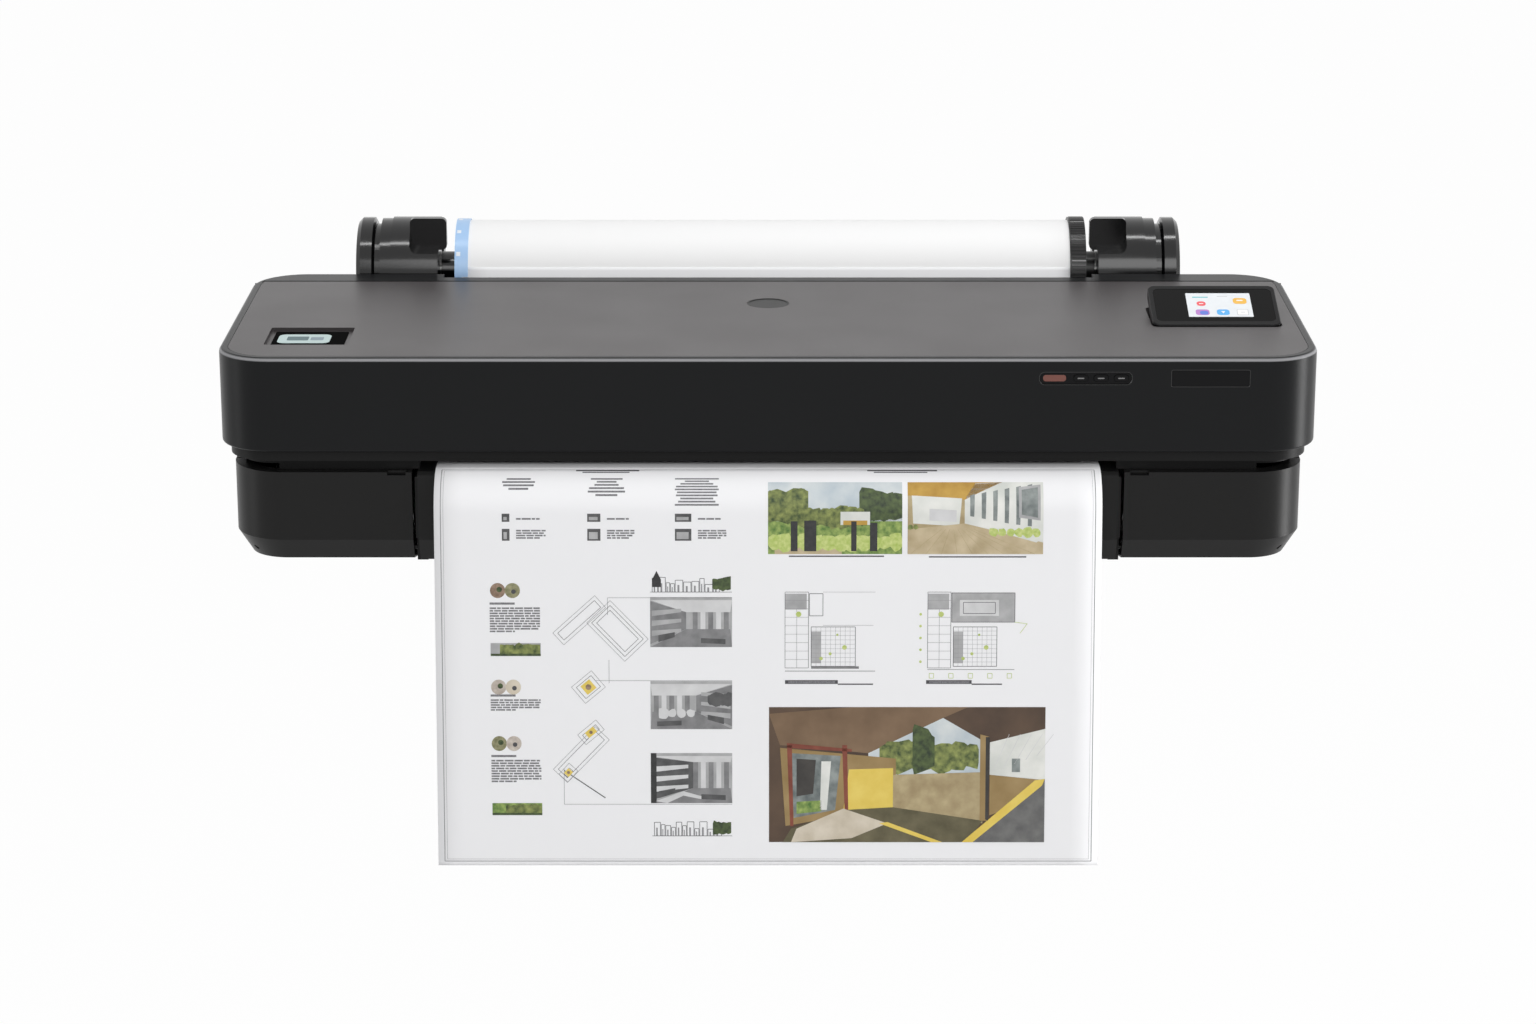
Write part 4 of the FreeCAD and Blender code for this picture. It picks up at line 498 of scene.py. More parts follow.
def picture_garden(left, right, low, high):
    """A garden seen across a clearing: sky, tree masses, low planting and plain posts."""
    wide, tall = right - left, high - low
    shapes = [patch("sky", left, right, low + tall * 0.45, high),
              patch("grass", left, right, low, low + tall * 0.5)]
    shapes.append(patch("sand", left + wide * 0.05, left + wide * 0.55, low, low + tall * 0.12, 1.5))
    shapes += bushes("leaf", left, left + wide * 0.3, low + tall * 0.35, tall * 0.6, 5, 2)
    shapes += bushes("leaf_dark", left + wide * 0.68, right, low + tall * 0.38, tall * 0.55, 4, 3)
    shapes += bushes("leaf", left + wide * 0.25, left + wide * 0.72, low + tall * 0.32, tall * 0.36, 7, 4)
    shapes += bushes("lime", left, right, low + tall * 0.02, tall * 0.28, 12, 5)
    shapes.append(patch("haze", left + wide * 0.54, left + wide * 0.76, low + tall * 0.40, low + tall * 0.58,
                        7))
    shapes.append(patch("ochre", left + wide * 0.56, left + wide * 0.74, low + tall * 0.40, low + tall * 0.46,
                        8))
    for place, width, top in ((0.17, 0.05, 0.45), (0.27, 0.09, 0.46), (0.62, 0.04, 0.45),
                              (0.76, 0.055, 0.43)):
        start = left + wide * place
        shapes.append(patch("black", start, start + wide * width, low + tall * 0.04, low + tall * top, 9))
    return shapes


def picture_court(left, right, low, high):
    """A paved court under a canopy beside a glazed front."""
    wide, tall = right - left, high - low

    def at(points, colour, layer):
        return (colour, [(left + wide * x, low + tall * y) for x, y in points], layer)

    shapes = [patch("path", left, right, low, high)]
    shapes.append(at([(0, 0.80), (0.42, 0.74), (0.75, 1), (0, 1)], "ochre", 2))
    shapes.append(at([(0.42, 0.74), (0.50, 0.98), (0.68, 1), (0.75, 1), (0.42, 0.5)], "stone", 2))
    shapes.append(at([(0.04, 0.42), (0.38, 0.38), (0.40, 0.76), (0.03, 0.80)], "haze", 3))
    shapes.append(at([(0.16, 0.46), (0.36, 0.44), (0.36, 0.60), (0.16, 0.62)], "grey_4", 4))
    shapes.append(at([(0.42, 0.40), (1, 0.12), (1, 1), (0.70, 1), (0.42, 0.74)], "haze", 3))
    for i in range(6):
        start = 0.46 + 0.085 * i
        shapes.append(at([(start, 0.52 - 0.03 * i), (start + 0.03, 0.51 - 0.03 * i),
                          (start + 0.035, 0.82 + 0.03 * i),
                          (start, 0.80 + 0.03 * i)], "window", 4))
    shapes.append(at([(0.82, 0.50), (0.98, 0.46), (0.98, 0.96), (0.82, 0.92)], "grey_3", 5))
    shapes.append(at([(0.84, 0.54), (0.96, 0.50), (0.96, 0.92), (0.84, 0.88)], "window", 6))
    shapes.append(at([(0, 0), (1, 0), (1, 0.16), (0.42, 0.42), (0, 0.34)], "sand", 7))
    for i in range(9):
        spread = 0.02 + 0.115 * i
        shapes.append((*stroke("path", (left + wide * spread, low),
                               (left + wide * (0.25 + 0.03 * i), low + tall * 0.34),
                               0.3, 8),))
    shapes.append(at([(0.68, 0.30), (0.95, 0.16), (1, 0.22), (1, 0.36), (0.74, 0.42)], "haze", 9))
    shapes += bushes("lime", left + wide * 0.60, left + wide * 0.98, low + tall * 0.22, tall * 0.16, 6, 10)
    shapes += bushes("leaf", left, left + wide * 0.08, low + tall * 0.32, tall * 0.10, 2, 10)
    return shapes


def picture_hall(left, right, low, high):
    """A covered way with a gable opening to a garden, a bright wall and a road beside it."""
    wide, tall = right - left, high - low

    def at(colour, layer, *points):
        return (colour, [(left + wide * x, low + tall * y) for x, y in points], layer)

    shapes = [patch("ceiling", left, right, low, high)]
    shapes.append(at("ceiling_light", 2, (0, 0.95), (0.04, 0.72), (0.36, 0.66), (0.63, 0.92), (0.72, 1),
                     (0.3, 1)))
    shapes.append(at("sky", 3, (0.36, 0.66), (0.63, 0.92), (0.775, 0.75), (0.775, 0.5), (0.36, 0.5)))
    shapes.append(at("haze", 3, (0.80, 0.74), (1, 0.84), (1, 0.46), (0.80, 0.5)))
    shapes += [(c, p, 4 + i * 0.1) for i, (c, p, _) in
               enumerate(bushes("leaf", left + wide * 0.40, left + wide * 0.76, low + tall * 0.50,
                                tall * 0.27, 7, 4))]
    shapes += bushes("leaf_dark", left + wide * 0.52, left + wide * 0.60, low + tall * 0.50, tall * 0.36, 2,
                     5)
    for i in range(5):
        start = 0.81 + 0.04 * i
        shapes.append((*stroke("grey_4", (left + wide * start, low + tall * (0.52 + 0.03 * i)),
                               (left + wide * (start + 0.06), low + tall * 0.80), 0.4, 4),))
    shapes.append(at("window", 4, (0.88, 0.52), (0.91, 0.52), (0.91, 0.62), (0.88, 0.62)))
    shapes.append(at("wall", 6, (0.04, 0.70), (0.46, 0.62), (0.46, 0.50), (0.28, 0.20), (0.06, 0.12)))
    shapes.append(at("yellow", 7, (0.29, 0.54), (0.45, 0.55), (0.45, 0.24), (0.27, 0.24)))
    shapes.append(at("window", 7, (0.08, 0.66), (0.26, 0.64), (0.24, 0.24), (0.09, 0.18)))
    shapes.append(at("shade", 8, (0.10, 0.62), (0.17, 0.61), (0.16, 0.36), (0.10, 0.34)))
    shapes.append(at("haze", 8, (0.19, 0.60), (0.225, 0.60), (0.21, 0.24), (0.185, 0.24)))
    shapes.append(at("grass", 8, (0.10, 0.30), (0.19, 0.31), (0.19, 0.23), (0.10, 0.21)))
    for start in (0.065, 0.265):
        shapes.append(at("red", 9, (start, 0.72), (start + 0.018, 0.72), (start + 0.024, 0.12),
                         (start + 0.012, 0.12)))
    shapes.append(at("red", 9, (0.065, 0.735), (0.30, 0.69), (0.30, 0.67), (0.065, 0.70)))
    shapes.append(at("path", 10, (0.45, 0.50), (0.775, 0.52), (0.775, 0.14), (0.45, 0.25)))
    shapes.append(at("wall", 10, (0.80, 0.50), (1, 0.46), (0.86, 0.24), (0.80, 0.20)))
    shapes.append(at("floor", 11, (0.05, 0), (0.72, 0), (0.775, 0.16), (0.45, 0.26), (0.28, 0.24),
                     (0.08, 0.10)))
    shapes.append(at("stone", 12, (0.08, 0.0), (0.30, 0.03), (0.43, 0.14), (0.27, 0.25), (0.10, 0.10)))
    shapes.append(at("asphalt", 13, (0.70, 0), (1, 0), (1, 0.47), (0.97, 0.46)))
    shapes.append(at("yellow", 14, (0.70, 0), (0.74, 0), (0.99, 0.42), (1, 0.47), (0.965, 0.46)))
    shapes.append(at("yellow", 14, (0.40, 0.14), (0.43, 0.15), (0.63, 0.0), (0.59, 0.0)))
    shapes.append(at("wall", 15, (0.765, 0.80), (0.80, 0.78), (0.795, 0.16), (0.765, 0.16)))
    shapes.append(at("shade", 16, (0.785, 0.78), (0.80, 0.78), (0.795, 0.16), (0.785, 0.17)))
    return shapes


def picture_grey(left, right, low, high, style):
    """A plain interior in greys, three arrangements of the same few planes."""
    wide, tall = right - left, high - low

    def at(colour, layer, *points):
        if style == 1:
            points = [(1 - x, y) for x, y in points]
        return (colour, [(left + wide * x, low + tall * y) for x, y in points], layer)

    back, sill, head = (0.44, 0.36, 0.70) if style < 2 else (0.52, 0.30, 0.82)
    shapes = [patch("grey_3", left, right, low, high)]
    shapes.append(at("grey_4", 2, (0, 0.94), (back, head), (0.98, head), (1, 0.94)))
    shapes.append(at("grey_2", 2, (0, 0), (1, 0), (0.98, sill), (back, sill)))
    shapes.append(at("grey_2" if style < 2 else "grey_1", 3, (0, 0.06), (back, sill), (back, head),
                     (0, 0.92)))
    for i in range(5):
        x = 0.52 + 0.095 * i
        shapes.append(at("grey_4" if i % 2 else "grey_2", 4, (x, sill), (x + 0.06, sill), (x + 0.06, head),
                         (x, head)))
    for i in range(3):
        y = 0.20 + 0.20 * i
        shapes.append(at("grey_3" if style < 2 else "grey_4", 4, (0.02, y + 0.02), (back - 0.06, y + 0.10),
                         (back - 0.06, y + 0.17), (0.02, y + 0.13)))
    shapes.append(at("grey_1", 5, (0.10, 0.10), (0.30, 0.20), (0.30, 0.30), (0.10, 0.24)))
    shapes.append(at("grey_1", 5, (0.62, 0.08), (0.92, 0.06), (0.92, 0.16), (0.62, 0.18)))
    if style == 1:
        shapes += bushes("grey_1", left + wide * 0.70, right, low + tall * 0.45, tall * 0.34, 4, 6)
        shapes += bushes("grey_4", left + wide * 0.10, left + wide * 0.55, low + tall * 0.20, tall * 0.26, 4,
                         7)
    if style == 2:
        shapes.append(at("grey_4", 7, (0.06, 0.04), (0.40, 0.24), (0.62, 0.14), (0.62, 0.08), (0.40, 0.15),
                         (0.20, 0.0)))
        shapes.append(at("black", 6, (0, 0), (0.07, 0), (0.07, 1), (0, 1)))
    return shapes


def site_plan(left, right, low, high, style):
    """A plan in fine lines: a grid of rooms, a planted court and boundary lines."""
    wide, tall = right - left, high - low
    shapes = []

    def x(part):
        return left + wide * part

    def y(part):
        return low + tall * part

    shapes += frame_lines("line", x(0), x(0.26), y(0.04), y(1), 0.4)
    for i in range(1, 9):
        shapes.append(stroke("fine", (x(0), y(0.04 + 0.107 * i)), (x(0.26), y(0.04 + 0.107 * i)), 0.3))
    shapes.append(stroke("fine", (x(0.13), y(0.04)), (x(0.13), y(0.78)), 0.35))
    shapes += frame_lines("line", x(0.29), x(0.78), y(0.06), y(0.56), 0.5)
    for i in range(1, 9):
        across, up = x(0.29 + 0.054 * i), y(0.06 + 0.056 * i)
        shapes.append(stroke("fine", (across, y(0.06)), (across, y(0.56)), 0.22))
        shapes.append(stroke("fine", (x(0.29), up), (x(0.78), up), 0.22))
    shapes.append(patch("grey_3", x(0.0), x(0.24), y(0.78), y(0.98), 1))
    shapes.append(patch("grey_3", x(0.29), x(0.40), y(0.10), y(0.50), 1))
    for u, v, radius in ((0.66, 0.30, 2.2), (0.50, 0.22, 1.5), (0.40, 0.16, 1.7), (0.15, 0.72, 2.6),
                         (0.58, 0.46, 1.1)):
        shapes.append(disc("lime", x(u), y(v), radius, 3, 9))
    if style == 0:
        shapes += frame_lines("line", x(0.27), x(0.42), y(0.70), y(0.98), 0.5)
        shapes.append(stroke("fine", (x(0.42), y(1)), (x(1), y(1)), 0.3))
        shapes.append(stroke("fine", (x(0.42), y(0.58)), (x(0.98), y(0.58)), 0.3))
        shapes.append(patch("grey_2", x(0.29), x(0.82), y(0.03), y(0.06), 2))
        shapes.append(stroke("line", (x(0), y(0.0)), (x(1), y(0.0)), 0.5))
    else:
        shapes.append(patch("grey_3", x(0.27), x(0.98), y(0.62), y(0.99), 1))
        shapes.append(patch("grey_4", x(0.36), x(0.80), y(0.70), y(0.90), 2))
        shapes += frame_lines("line", x(0.27), x(0.98), y(0.62), y(0.99), 0.5)
        shapes += frame_lines("line", x(0.40), x(0.76), y(0.73), y(0.87), 0.5, 3)
        shapes.append(stroke("line", (x(0), y(0.02)), (x(0.98), y(0.02)), 0.4))
        for i in range(5):
            shapes += frame_lines("lime", x(0.02 + 0.22 * i), x(0.07 + 0.22 * i), y(-0.09), y(-0.03), 0.5)
            shapes.append(disc("lime", x(-0.08), y(0.12 + 0.15 * i), 1.3, 3, 7))
        shapes.append(stroke("lime", (x(0.98), y(0.62)), (x(1.12), y(0.60)), 0.5))
        shapes.append(stroke("lime", (x(1.04), y(0.48)), (x(1.12), y(0.60)), 0.5))
    return shapes


def sketch_block(centre, size, tilt, filled, rings=2):
    """A small slanted block drawn in outline, one inside another, with a filled core where asked."""
    shapes = []
    turn = math.radians(tilt)
    for ring in range(rings):
        half_u, half_v = size[0] / 2 - 3.2 * ring, size[1] / 2 - 3.2 * ring
        corners = [(-half_u, -half_v), (half_u, -half_v), (half_u, half_v), (-half_u, half_v)]
        points = [(centre[0] + a * math.cos(turn) - b * math.sin(turn),
                   centre[1] + a * math.sin(turn) + b * math.cos(turn)) for a, b in corners]
        shapes += outline("line" if ring else "fine", points, 0.4)
    if filled:
        half_u, half_v = size[0] * 0.22, size[1] * 0.26
        corners = [(-half_u, -half_v), (half_u, -half_v), (half_u, half_v), (-half_u, half_v)]
        points = [(centre[0] + a * math.cos(turn) - b * math.sin(turn),
                   centre[1] + a * math.sin(turn) + b * math.cos(turn)) for a, b in corners]
        shapes.append(("yellow", points, 3))
        shapes.append(disc("umber", centre[0], centre[1], min(half_u, half_v) * 0.55, 4, 7))
    return shapes


def skyline(left, right, base, tall):
    """A street front in outline with trees at its ends."""
    shapes = [stroke("line", (left, base), (right, base), 0.4)]
    u = left + 2
    while u < right - 16:
        width = random.uniform(3, 7)
        top = base + tall * random.uniform(0.35, 0.8)
        shapes += frame_lines("line", u, u + width, base, top, 0.5)
        shapes.append(patch("fine", u + width * 0.3, u + width * 0.55, base, base + (top - base) * 0.6, 1))
        u += width + 0.8
    shapes += bushes("leaf_dark", right - 18, right - 1, base, tall * 0.85, 4, 3)
    return shapes


def print_pictures():
    lay_on_sheet("print_garden", picture_garden(0, 122.5, 292.6, 360.2))
    lay_on_sheet("print_court", picture_court(127.5, 251.3, 292.6, 360.2))
    lay_on_sheet("print_hall", picture_hall(0.9, 255.3, 22.1, 149.7))
    for style, (low, high) in enumerate(((206, 252.6), (129, 174.1), (59.1, 106.4))):
        lay_on_sheet(f"print_grey_{style + 1}", picture_grey(-108, -33, low, high, style))
    strips = []
    for number, (low, high) in enumerate(((197.6, 209.7), (47.7, 59.1))):
        strips.append(patch("grass" if number else "grey_3", -254.5, -208.5, low, high))
        strips += bushes("leaf", -246 + 4 * number, -209, low, high - low, 9, 2)
        strips.append(patch("leaf_dark", -254.5, -208.5, low, low + 2.2, 4))
    for v, (one, other) in ((258.7, ("umber", "olive")), (168.5, ("blush", "stone")),
                            (115.4, ("olive", "blush"))):
        strips.append(disc(one, -247.5, v, 7))
        strips.append(disc(other, -234, v, 7, 2))
        strips.append(disc("leaf_dark", -246, v + 1, 2.6, 3, 9))
        strips.append(disc("line", -233, v - 1, 2.2, 3, 9))
    lay_on_sheet("print_swatches", strips)


def print_drawings():
    plans = site_plan(15.6, 98.3, 183.5, 257.3, 0) + site_plan(146.4, 227.8, 183.5, 257.3, 1)
    lay_on_sheet("print_plans", plans)
    sketches = sketch_block((-173, 231), (52, 15), 42, False) + sketch_block((-138, 221), (50, 30), -46,
                                                                             False, 3)
    sketches += sketch_block((-165, 168.5), (24, 20), 40, True) + sketch_block((-172, 105), (56, 18), 46,
                                                                               False)
    sketches += sketch_block((-163, 126), (22, 12), 40, True) + sketch_block((-184, 88), (14, 11), 48, True)
    sketches += skyline(-108, -33, 257.3, 18) + skyline(-107, -33, 28, 17)
    sketches.append(("black", [(-106, 262), (-98, 262), (-98, 269), (-102, 277), (-106, 269)], 3))
    leaders = [((-147, 236), (-147, 252)), ((-147, 252), (-33, 252)), ((-146, 194), (-146, 172)),
               ((-158, 174.5), (-33, 174.5)), ((-188, 92), (-188, 58)), ((-188, 58), (-33, 58)),
               ((-188, 90), (-150, 64))]
    for number, (start, end) in enumerate(leaders):
        sketches.append(stroke("line" if number > 5 else "fine", start, end, 0.9 if number > 5 else 0.4, 1))
    lay_on_sheet("print_sketches", sketches)


def print_text():
    blocks = []
    for low, high, lines in ((219, 243, 10), (145.5, 157, 5), (78, 100, 9)):
        blocks.append(patch("text", -255, -232, high + 2.6, high + 4.6, 1))
        blocks += text_block(-255, -209, low, high, lines, 0.5)
    blocks += centred_lines(-228, 365, [22, 30, 28, 18], 3.6)
    blocks += centred_lines(-147.5, 365, [29, 18, 22, 32, 34, 20], 3.4)
    blocks += centred_lines(-65, 365, [40, 22, 30, 38, 40, 36, 38, 30, 34, 40], 2.9)
    for left, middle, right in ((-244, -233, -203), (-166, -150, -122), (-86, -67, -38)):
        for low, high in ((322.5, 330), (305, 316)):
            blocks.append(patch("grey_1", left + 1, middle - 3, low, high, 1))
            blocks.append(patch("grey_3", left + 2.5, middle - 5.5, low + 1.5, high - 3, 2))
            lines = 1 if low > 320 else 4
            blocks += text_block(middle + 3, right, low + 1, high - 1 if lines > 1 else low + 3.5, lines, 0.8)
    for left, right in ((15.6, 96.5), (145.2, 215)):
        blocks.append(patch("line", left, left + (right - left) * 0.6, 171.5, 175, 1))
        blocks.append(patch("text", left + 3, left + (right - left) * 0.57, 172.4, 174, 2))
        blocks.append(patch("line", left + (right - left) * 0.6, right, 170.6, 171.8, 1))
    for left, right, v in ((19, 106, 290.6), (147, 236, 290)):
        blocks.append(patch("line", left, right, v - 0.6, v + 0.6, 1))
    for left, right in ((-176, -118), (91, 155)):
        blocks.append(patch("line", left, right, 375.2, 377.4, 1))
        blocks.append(patch("text", left + 6, right - 9, 372.4, 374.2, 1))
    lay_on_sheet("print_text", blocks)
    edge = SHEET_HALF / MM - 6
    lay_on_sheet("print_border", frame_lines("fine", -edge, edge, 4, 378, 0.7, 1)
                 + frame_lines("fine", -edge + 2.4, edge - 2.4, 6, 376, 0.25, 1))


# ---------------------------------------------------------------- the moving screen, label and marks

def top_plane(name):
    """The centre, across, up and out directions of a node's largest face."""
    mesh = NODES[name].data
    best = max((face for face in mesh.polygons if face.normal.z > 0.5), key=lambda face: face.area)
    out = best.normal.copy()
    low, high = Vector((9, 9, 9)), Vector((-9, -9, -9))
    for face in mesh.polygons:
        if face.normal.dot(out) > 0.9999:
            for index in face.vertices:
                spot = mesh.vertices[index].co
                low = Vector(map(min, low, spot))
                high = Vector(map(max, high, spot))
    across = Vector((1, 0, 0))
    if abs(out.x) > 0.9:
        across = Vector((0, 1, 0))
    up = out.cross(across)
    return (low + high) / 2, across, up, out, high - low


def plate_shapes(name, plane, shapes, body, lift=0.12 * MM):
    """Flat shapes given as (material, points in millimetres, layer) on a plane."""
    centre, across, up, out = plane[:4]
    flat = bmesh.new()
    used = []
    for material, points, layer in shapes:
        if material not in used:
            used.append(material)
        spots = [centre + across * (x * MM) + up * (y * MM) + out * (lift + layer * LAYER_LIFT) for x,
                 y in points]
        face = flat.faces.new([flat.verts.new(spot) for spot in spots])
        face.normal_update()
        if face.normal.dot(out) < 0:
            face.normal_flip()
        face.material_index = used.index(material)
    bmesh.ops.triangulate(flat, faces=[f for f in flat.faces if len(f.verts) > 4])
    mesh = bpy.data.meshes.new(name)
    flat.to_mesh(mesh)
    flat.free()
    piece = add_piece(name, mesh, body, None)
    for material in used:
        mesh.materials.append(material)
    return piece


def lit(name, colour, strength, grain=90):
    """A lit patch of a screen: its colour varies a little and shines by itself."""
    material, tree, shader = principled(name)
    coords = node(tree, "ShaderNodeTexCoord").outputs["Object"]
    shade = blend_colour(tree, remap(tree, noise(tree, coords, grain), 0, 1), [c * 0.94 for c in colour],
                         colour)
    tree.links.new(shade, shader.inputs["Base Color"])
    tree.links.new(shade, shader.inputs["Emission Color"])
    shader.inputs["Emission Strength"].default_value = strength
    shader.inputs["Roughness"].default_value = 0.15
    return material


def round_box(material, x, y, wide, tall, radius, layer=1, steps=6):
    points = []
    for corner, (sx, sy) in enumerate(((1, 1), (-1, 1), (-1, -1), (1, -1))):
        for step in range(steps + 1):
            angle = math.pi / 2 * (corner + step / steps)
            points.append((x + sx * (wide / 2 - radius) + radius * math.cos(angle),
                           y + sy * (tall / 2 - radius) + radius * math.sin(angle)))
    return (material, points, layer)


def screen_picture():
    """A plain start screen: a pale ground and six tiles in the colours of such a panel."""
    white = lit("screen_white", (0.80, 0.83, 0.86), 0.06)
    tints = {name: lit("screen_" + name, colour, 0.04) for name, colour in {
        "teal": (0.10, 0.55, 0.60), "red": (0.85, 0.10, 0.12), "gold": (0.90, 0.50, 0.06),
        "blue": (0.12, 0.20, 0.70), "violet": (0.50, 0.22, 0.60), "sky": (0.10, 0.45, 0.90),
        "grey": (0.60, 0.62, 0.64), "paper": (0.95, 0.95, 0.95)}.items()}
    x, y = 5.0, 0.0
    shapes = [round_box(white, x, y, 61, 44, 0.8, 0)]
    shapes.append(round_box(tints["teal"], x - 17, y + 14.5, 15, 1.8, 0.6, 1))
    shapes.append(round_box(tints["grey"], x + 4, y + 16, 10, 1.2, 0.4, 1))
    shapes.append(round_box(tints["red"], x - 17, y + 2.5, 8.5, 8.5, 3.4, 1))
    shapes.append(round_box(tints["paper"], x - 17, y + 2.5, 4.2, 1.3, 0.5, 2))
    shapes.append(round_box(tints["gold"], x + 20, y + 7.5, 13, 11, 3.6, 1))
    shapes.append(round_box(tints["paper"], x + 20, y + 8.5, 6, 2, 0.8, 2))
    shapes.append(round_box(tints["violet"], x - 17, y - 13.5, 13, 10.5, 3, 1))
    shapes.append(round_box(tints["blue"], x - 15.6, y - 14.5, 8, 7, 2.6, 2))
    shapes.append(round_box(tints["sky"], x + 2.5, y - 13.5, 12, 10.5, 3.4, 1))
    shapes.append((tints["paper"], [(x + 0.5, y - 11.5), (x + 4.5, y - 11.5), (x + 2.5, y - 15.5)], 2))
    shapes.append(round_box(tints["grey"], x + 21, y - 13.5, 11, 10.5, 1.2, 1))
    shapes.append(round_box(tints["paper"], x + 21, y - 13.5, 9.6, 9.1, 0.9, 2))
    shapes.append(round_box(tints["grey"], x + 21, y - 13.5, 4, 1, 0.4, 3))
    plate_shapes("screen_picture", top_plane("display_glass"), shapes, "display")


def label_marks():
    dark = moulded("label_dark", (0.03, 0.10, 0.11), 0.4)
    pale = moulded("label_pale", (0.20, 0.28, 0.33), 0.4)
    shapes = [round_box(dark, -6, 0.5, 20, 14, 1.2), round_box(pale, 12, 0, 12, 11, 1.2)]
    plate_shapes("label_marks", top_plane("status_label"), shapes, "lid")


def button_marks():
    """A short pale bar on each front button."""
    pale = moulded("button_print", (0.20, 0.20, 0.20), 0.5)
    for number in (1, 2, 3):
        low, high = (Vector(v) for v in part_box(f"front_button_{number}"))
        plane = ((low + high) / 2 + Vector((0, (low.y - high.y) / 2, 0)), Vector((1, 0, 0)),
                 Vector((0, 0, 1)),
                 Vector((0, -1, 0)))
        plate_shapes(f"button_mark_{number}", plane, [round_box(pale, 0, 0, 6, 1.1, 0.4)], f"button_{number}")


def rim_highlight_outline(name, node_name, corner, body):
    """A fine lighter line round a flat blank on the front face: a painted highlight of the blank's raised
    rim.
    """
    line = moulded(name + "_line", grey(0.035), 0.4)
    low, high = (Vector(v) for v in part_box(node_name))
    middle = (low + high) / 2
    wide, tall = (high.x - low.x) / MM + 1.2, (high.z - low.z) / MM + 1.2
    plane = (Vector((middle.x, FRONT_Y, middle.z)), Vector((1, 0, 0)), Vector((0, 0, 1)), Vector((0, -1, 0)))
    outside = round_box(line, 0, 0, wide, tall, corner)[1]
    inside = round_box(line, 0, 0, wide - 0.7, tall - 0.7, max(0.2, corner - 0.35))[1]
    count = len(outside)
    quads = [(line, [outside[i], outside[(i + 1) % count], inside[(i + 1) % count], inside[i]], 0)
             for i in range(count)]
    plate_shapes(name, plane, quads, body, 0.05 * MM)


FRONT_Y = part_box("upper_cover")[0][1]


# ---------------------------------------------------------------- roll hubs

def ring_of(name, count, x_low, x_high, radius, tall, thick, body, material):
    """Small ribs standing round the roll's axis."""
    vertices, faces = [], []
    for number in range(count):
        angle = 2 * math.pi * number / count
        out = Vector((0, math.cos(angle), math.sin(angle)))
        side = Vector((0, -math.sin(angle), math.cos(angle))) * thick / 2
        axis = Vector((0, ROLL_Y, ROLL_Z))
        start = len(vertices)
        for x in (x_low, x_high):
            inset = 0.25 * tall
            for reach, spread in ((radius, 1.0), (radius + tall - inset, 0.85), (radius + tall, 0.45),
                                  (radius + tall, -0.45), (radius + tall - inset, -0.85), (radius, -1.0)):
                vertices.append(Vector((x, 0, 0)) + axis + out * reach + side * spread)
        for k in range(6):
            after = (k + 1) % 6
            faces.append((start + k, start + after, start + 6 + after, start + 6 + k))
        faces.append(tuple(start + k for k in reversed(range(6))))
        faces.append(tuple(start + 6 + k for k in range(6)))
    return add_piece(name, mesh_from(name, vertices, faces), body, material)


def hub_details():
    low, high = (Vector(v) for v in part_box("black_hub"))
    radius = (high.z - low.z) / 2
    ring_of("black_hub_ribs", 84, ROLL_HIGH.x - 2.5 * MM, ROLL_HIGH.x + 11.5 * MM, radius - 0.4 * MM,
            0.9 * MM,
            2.1 * MM, "roll", MATERIALS["holder_gloss"])
    low, high = (Vector(v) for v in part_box("blue_hub"))
    radius = (high.z - low.z) / 2
    white = moulded("hub_print", (0.80, 0.84, 0.90), 0.4)
    ring_of("blue_hub_marks", 12, ROLL_LOW.x - 5.5 * MM, ROLL_LOW.x - 1.5 * MM, radius - 0.05 * MM, 0.12 * MM,
            4.5 * MM, "roll", white)
    hub = NODES["blue_hub"]
    hub.data.materials.append(MATERIALS["holder_gloss"])
    for polygon in hub.data.polygons:
        if (hub.matrix_world @ polygon.center).x < ROLL_LOW.x - COLLAR_DEPTH:
            polygon.material_index = 1
    low, high = (Vector(v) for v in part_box("right_roll_support"))
    for side in (-1, 1):
        disc = bmesh.new()
        bmesh.ops.create_cone(disc, cap_ends=True, segments=96, radius1=NECK_RADIUS, radius2=NECK_RADIUS,
                              depth=NECK_LENGTH)
        bmesh.ops.rotate(disc, verts=disc.verts, cent=(0, 0, 0), matrix=Matrix.Rotation(math.pi / 2, 3, "Y"))
        middle = side * (max(abs(low.x), abs(high.x)) + NECK_GAP + NECK_LENGTH / 2)
        bmesh.ops.translate(disc, verts=disc.verts, vec=(middle, ROLL_Y, ROLL_Z))
        name = "right_knob_neck" if side > 0 else "left_knob_neck"
        mesh = bpy.data.meshes.new(name)
        disc.to_mesh(mesh)
        disc.free()
        add_piece(name, mesh, "roll", MATERIALS["holder_gloss"])


# ---------------------------------------------------------------- floor, light and camera

WORLD_LEVEL = 0.50
FLOOR_Z = -0.80
FLOOR_GLOW = 0.97
LENS_LENGTH = 91.71
SENSOR_WIDTH = 36.0
CAMERA_PLACE = (0, -3.687, 1.115)
CAMERA_PITCH = 16.5  # degrees below level


def white_for_camera(tree):
    """1 for rays from the camera, reflections and glass, and 0 for all others."""
    path = node(tree, "ShaderNodeLightPath")
    seen = node(tree, "ShaderNodeMath", operation="MAXIMUM")
    also = node(tree, "ShaderNodeMath", operation="MAXIMUM")
    tree.links.new(path.outputs["Is Camera Ray"], seen.inputs[0])
    tree.links.new(path.outputs["Is Glossy Ray"], seen.inputs[1])
    tree.links.new(seen.outputs["Value"], also.inputs[0])
    tree.links.new(path.outputs["Is Transmission Ray"], also.inputs[1])
    return also.outputs["Value"]


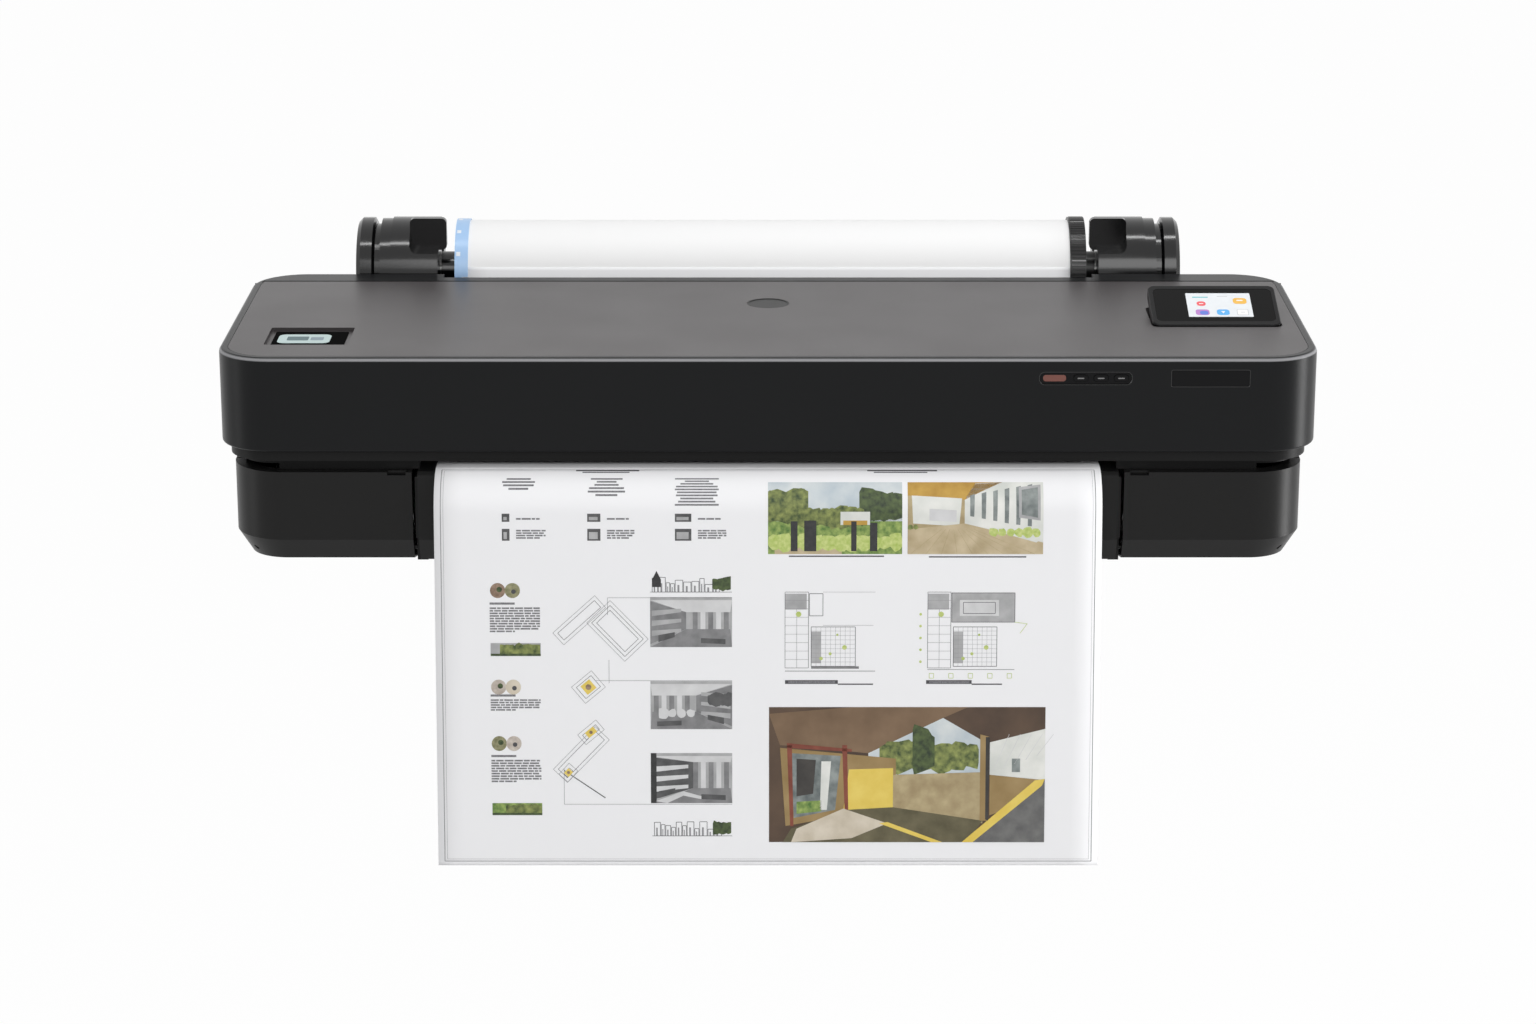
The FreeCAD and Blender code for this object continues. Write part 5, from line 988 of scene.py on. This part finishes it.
def build_world():
    world = bpy.data.worlds.new("studio")
    world.use_nodes = True
    bpy.context.scene.world = world
    tree = world.node_tree
    background = tree.nodes["Background"]
    seen = white_for_camera(tree)
    mixed = node(tree, "ShaderNodeMapRange")
    mixed.inputs["To Min"].default_value = WORLD_LEVEL
    mixed.inputs["To Max"].default_value = 1.0
    tree.links.new(seen, mixed.inputs["Value"])
    background.inputs["Color"].default_value = (1, 1, 1, 1)
    tree.links.new(mixed.outputs["Result"], background.inputs["Strength"])


def build_floor():
    material, tree, shader = principled("studio_floor")
    coords = node(tree, "ShaderNodeTexCoord").outputs["Object"]
    tree.links.new(blend_colour(tree, noise(tree, coords, 3.0), grey(0.80), grey(0.84)),
                   shader.inputs["Base Color"])
    shader.inputs["Roughness"].default_value = 0.9
    glow = node(tree, "ShaderNodeEmission")
    glow.inputs["Strength"].default_value = 1.0
    seen = white_for_camera(tree)
    part = node(tree, "ShaderNodeMath", operation="MULTIPLY")
    part.inputs[1].default_value = FLOOR_GLOW
    tree.links.new(seen, part.inputs[0])
    mix = node(tree, "ShaderNodeMixShader")
    tree.links.new(part.outputs["Value"], mix.inputs["Fac"])
    tree.links.new(shader.outputs["BSDF"], mix.inputs[1])
    tree.links.new(glow.outputs["Emission"], mix.inputs[2])
    tree.links.new(mix.outputs["Shader"], tree.nodes["Material Output"].inputs["Surface"])
    size = 30.0
    mesh = mesh_from("studio_floor", [(-size, -size, FLOOR_Z), (size, -size, FLOOR_Z), (size, size, FLOOR_Z),
                                      (-size, size, FLOOR_Z)], [(0, 1, 2, 3)])
    mesh.materials.append(material)
    floor = bpy.data.objects.new("studio_floor", mesh)
    bpy.context.scene.collection.objects.link(floor)


def area_light(name, place, target, size, power):
    lamp = bpy.data.lights.new(name, "AREA")
    lamp.shape = "RECTANGLE"
    lamp.size, lamp.size_y = size
    lamp.energy = power
    holder = bpy.data.objects.new(name, lamp)
    holder.location = place
    holder.visible_camera = False
    holder.rotation_euler = (Vector(target) - Vector(place)).to_track_quat("-Z", "Y").to_euler()
    bpy.context.scene.collection.objects.link(holder)


def build_camera():
    lens = bpy.data.cameras.new("camera")
    lens.sensor_width = SENSOR_WIDTH
    lens.lens = LENS_LENGTH
    camera = bpy.data.objects.new("camera", lens)
    camera.location = CAMERA_PLACE
    camera.rotation_euler = (math.radians(90 - CAMERA_PITCH), 0, 0)
    bpy.context.scene.collection.objects.link(camera)
    bpy.context.scene.camera = camera


dress_nodes()
make_inks()
sheet = printed_sheet()
print_pictures()
print_drawings()
print_text()
screen_picture()
label_marks()
button_marks()
# Painted highlights of the raised rims round the nameplate and the button strip.
rim_highlight_outline("nameplate_outline", "nameplate_blank", 1.6, "root")
rim_highlight_outline("strip_outline", "button_strip", 5.0, "root")
hub_details()

build_world()
build_floor()
area_light("front_light", (0.5, -2.8, 1.6), (0, -0.2, -0.1), (2.4, 1.2), 34)
area_light("top_light", (0.15, -0.15, 2.1), (0.1, -0.05, 0.2), (1.9, 0.14), 13)
area_light("right_light", (2.2, -0.2, 0.0), (0.45, -0.2, 0.15), (0.6, 1.5), 24)
area_light("left_light", (-2.2, -0.5, 0.1), (-0.45, -0.2, 0.15), (0.5, 1.4), 3)
build_camera()
bpy.context.scene.view_settings.view_transform = "Standard"
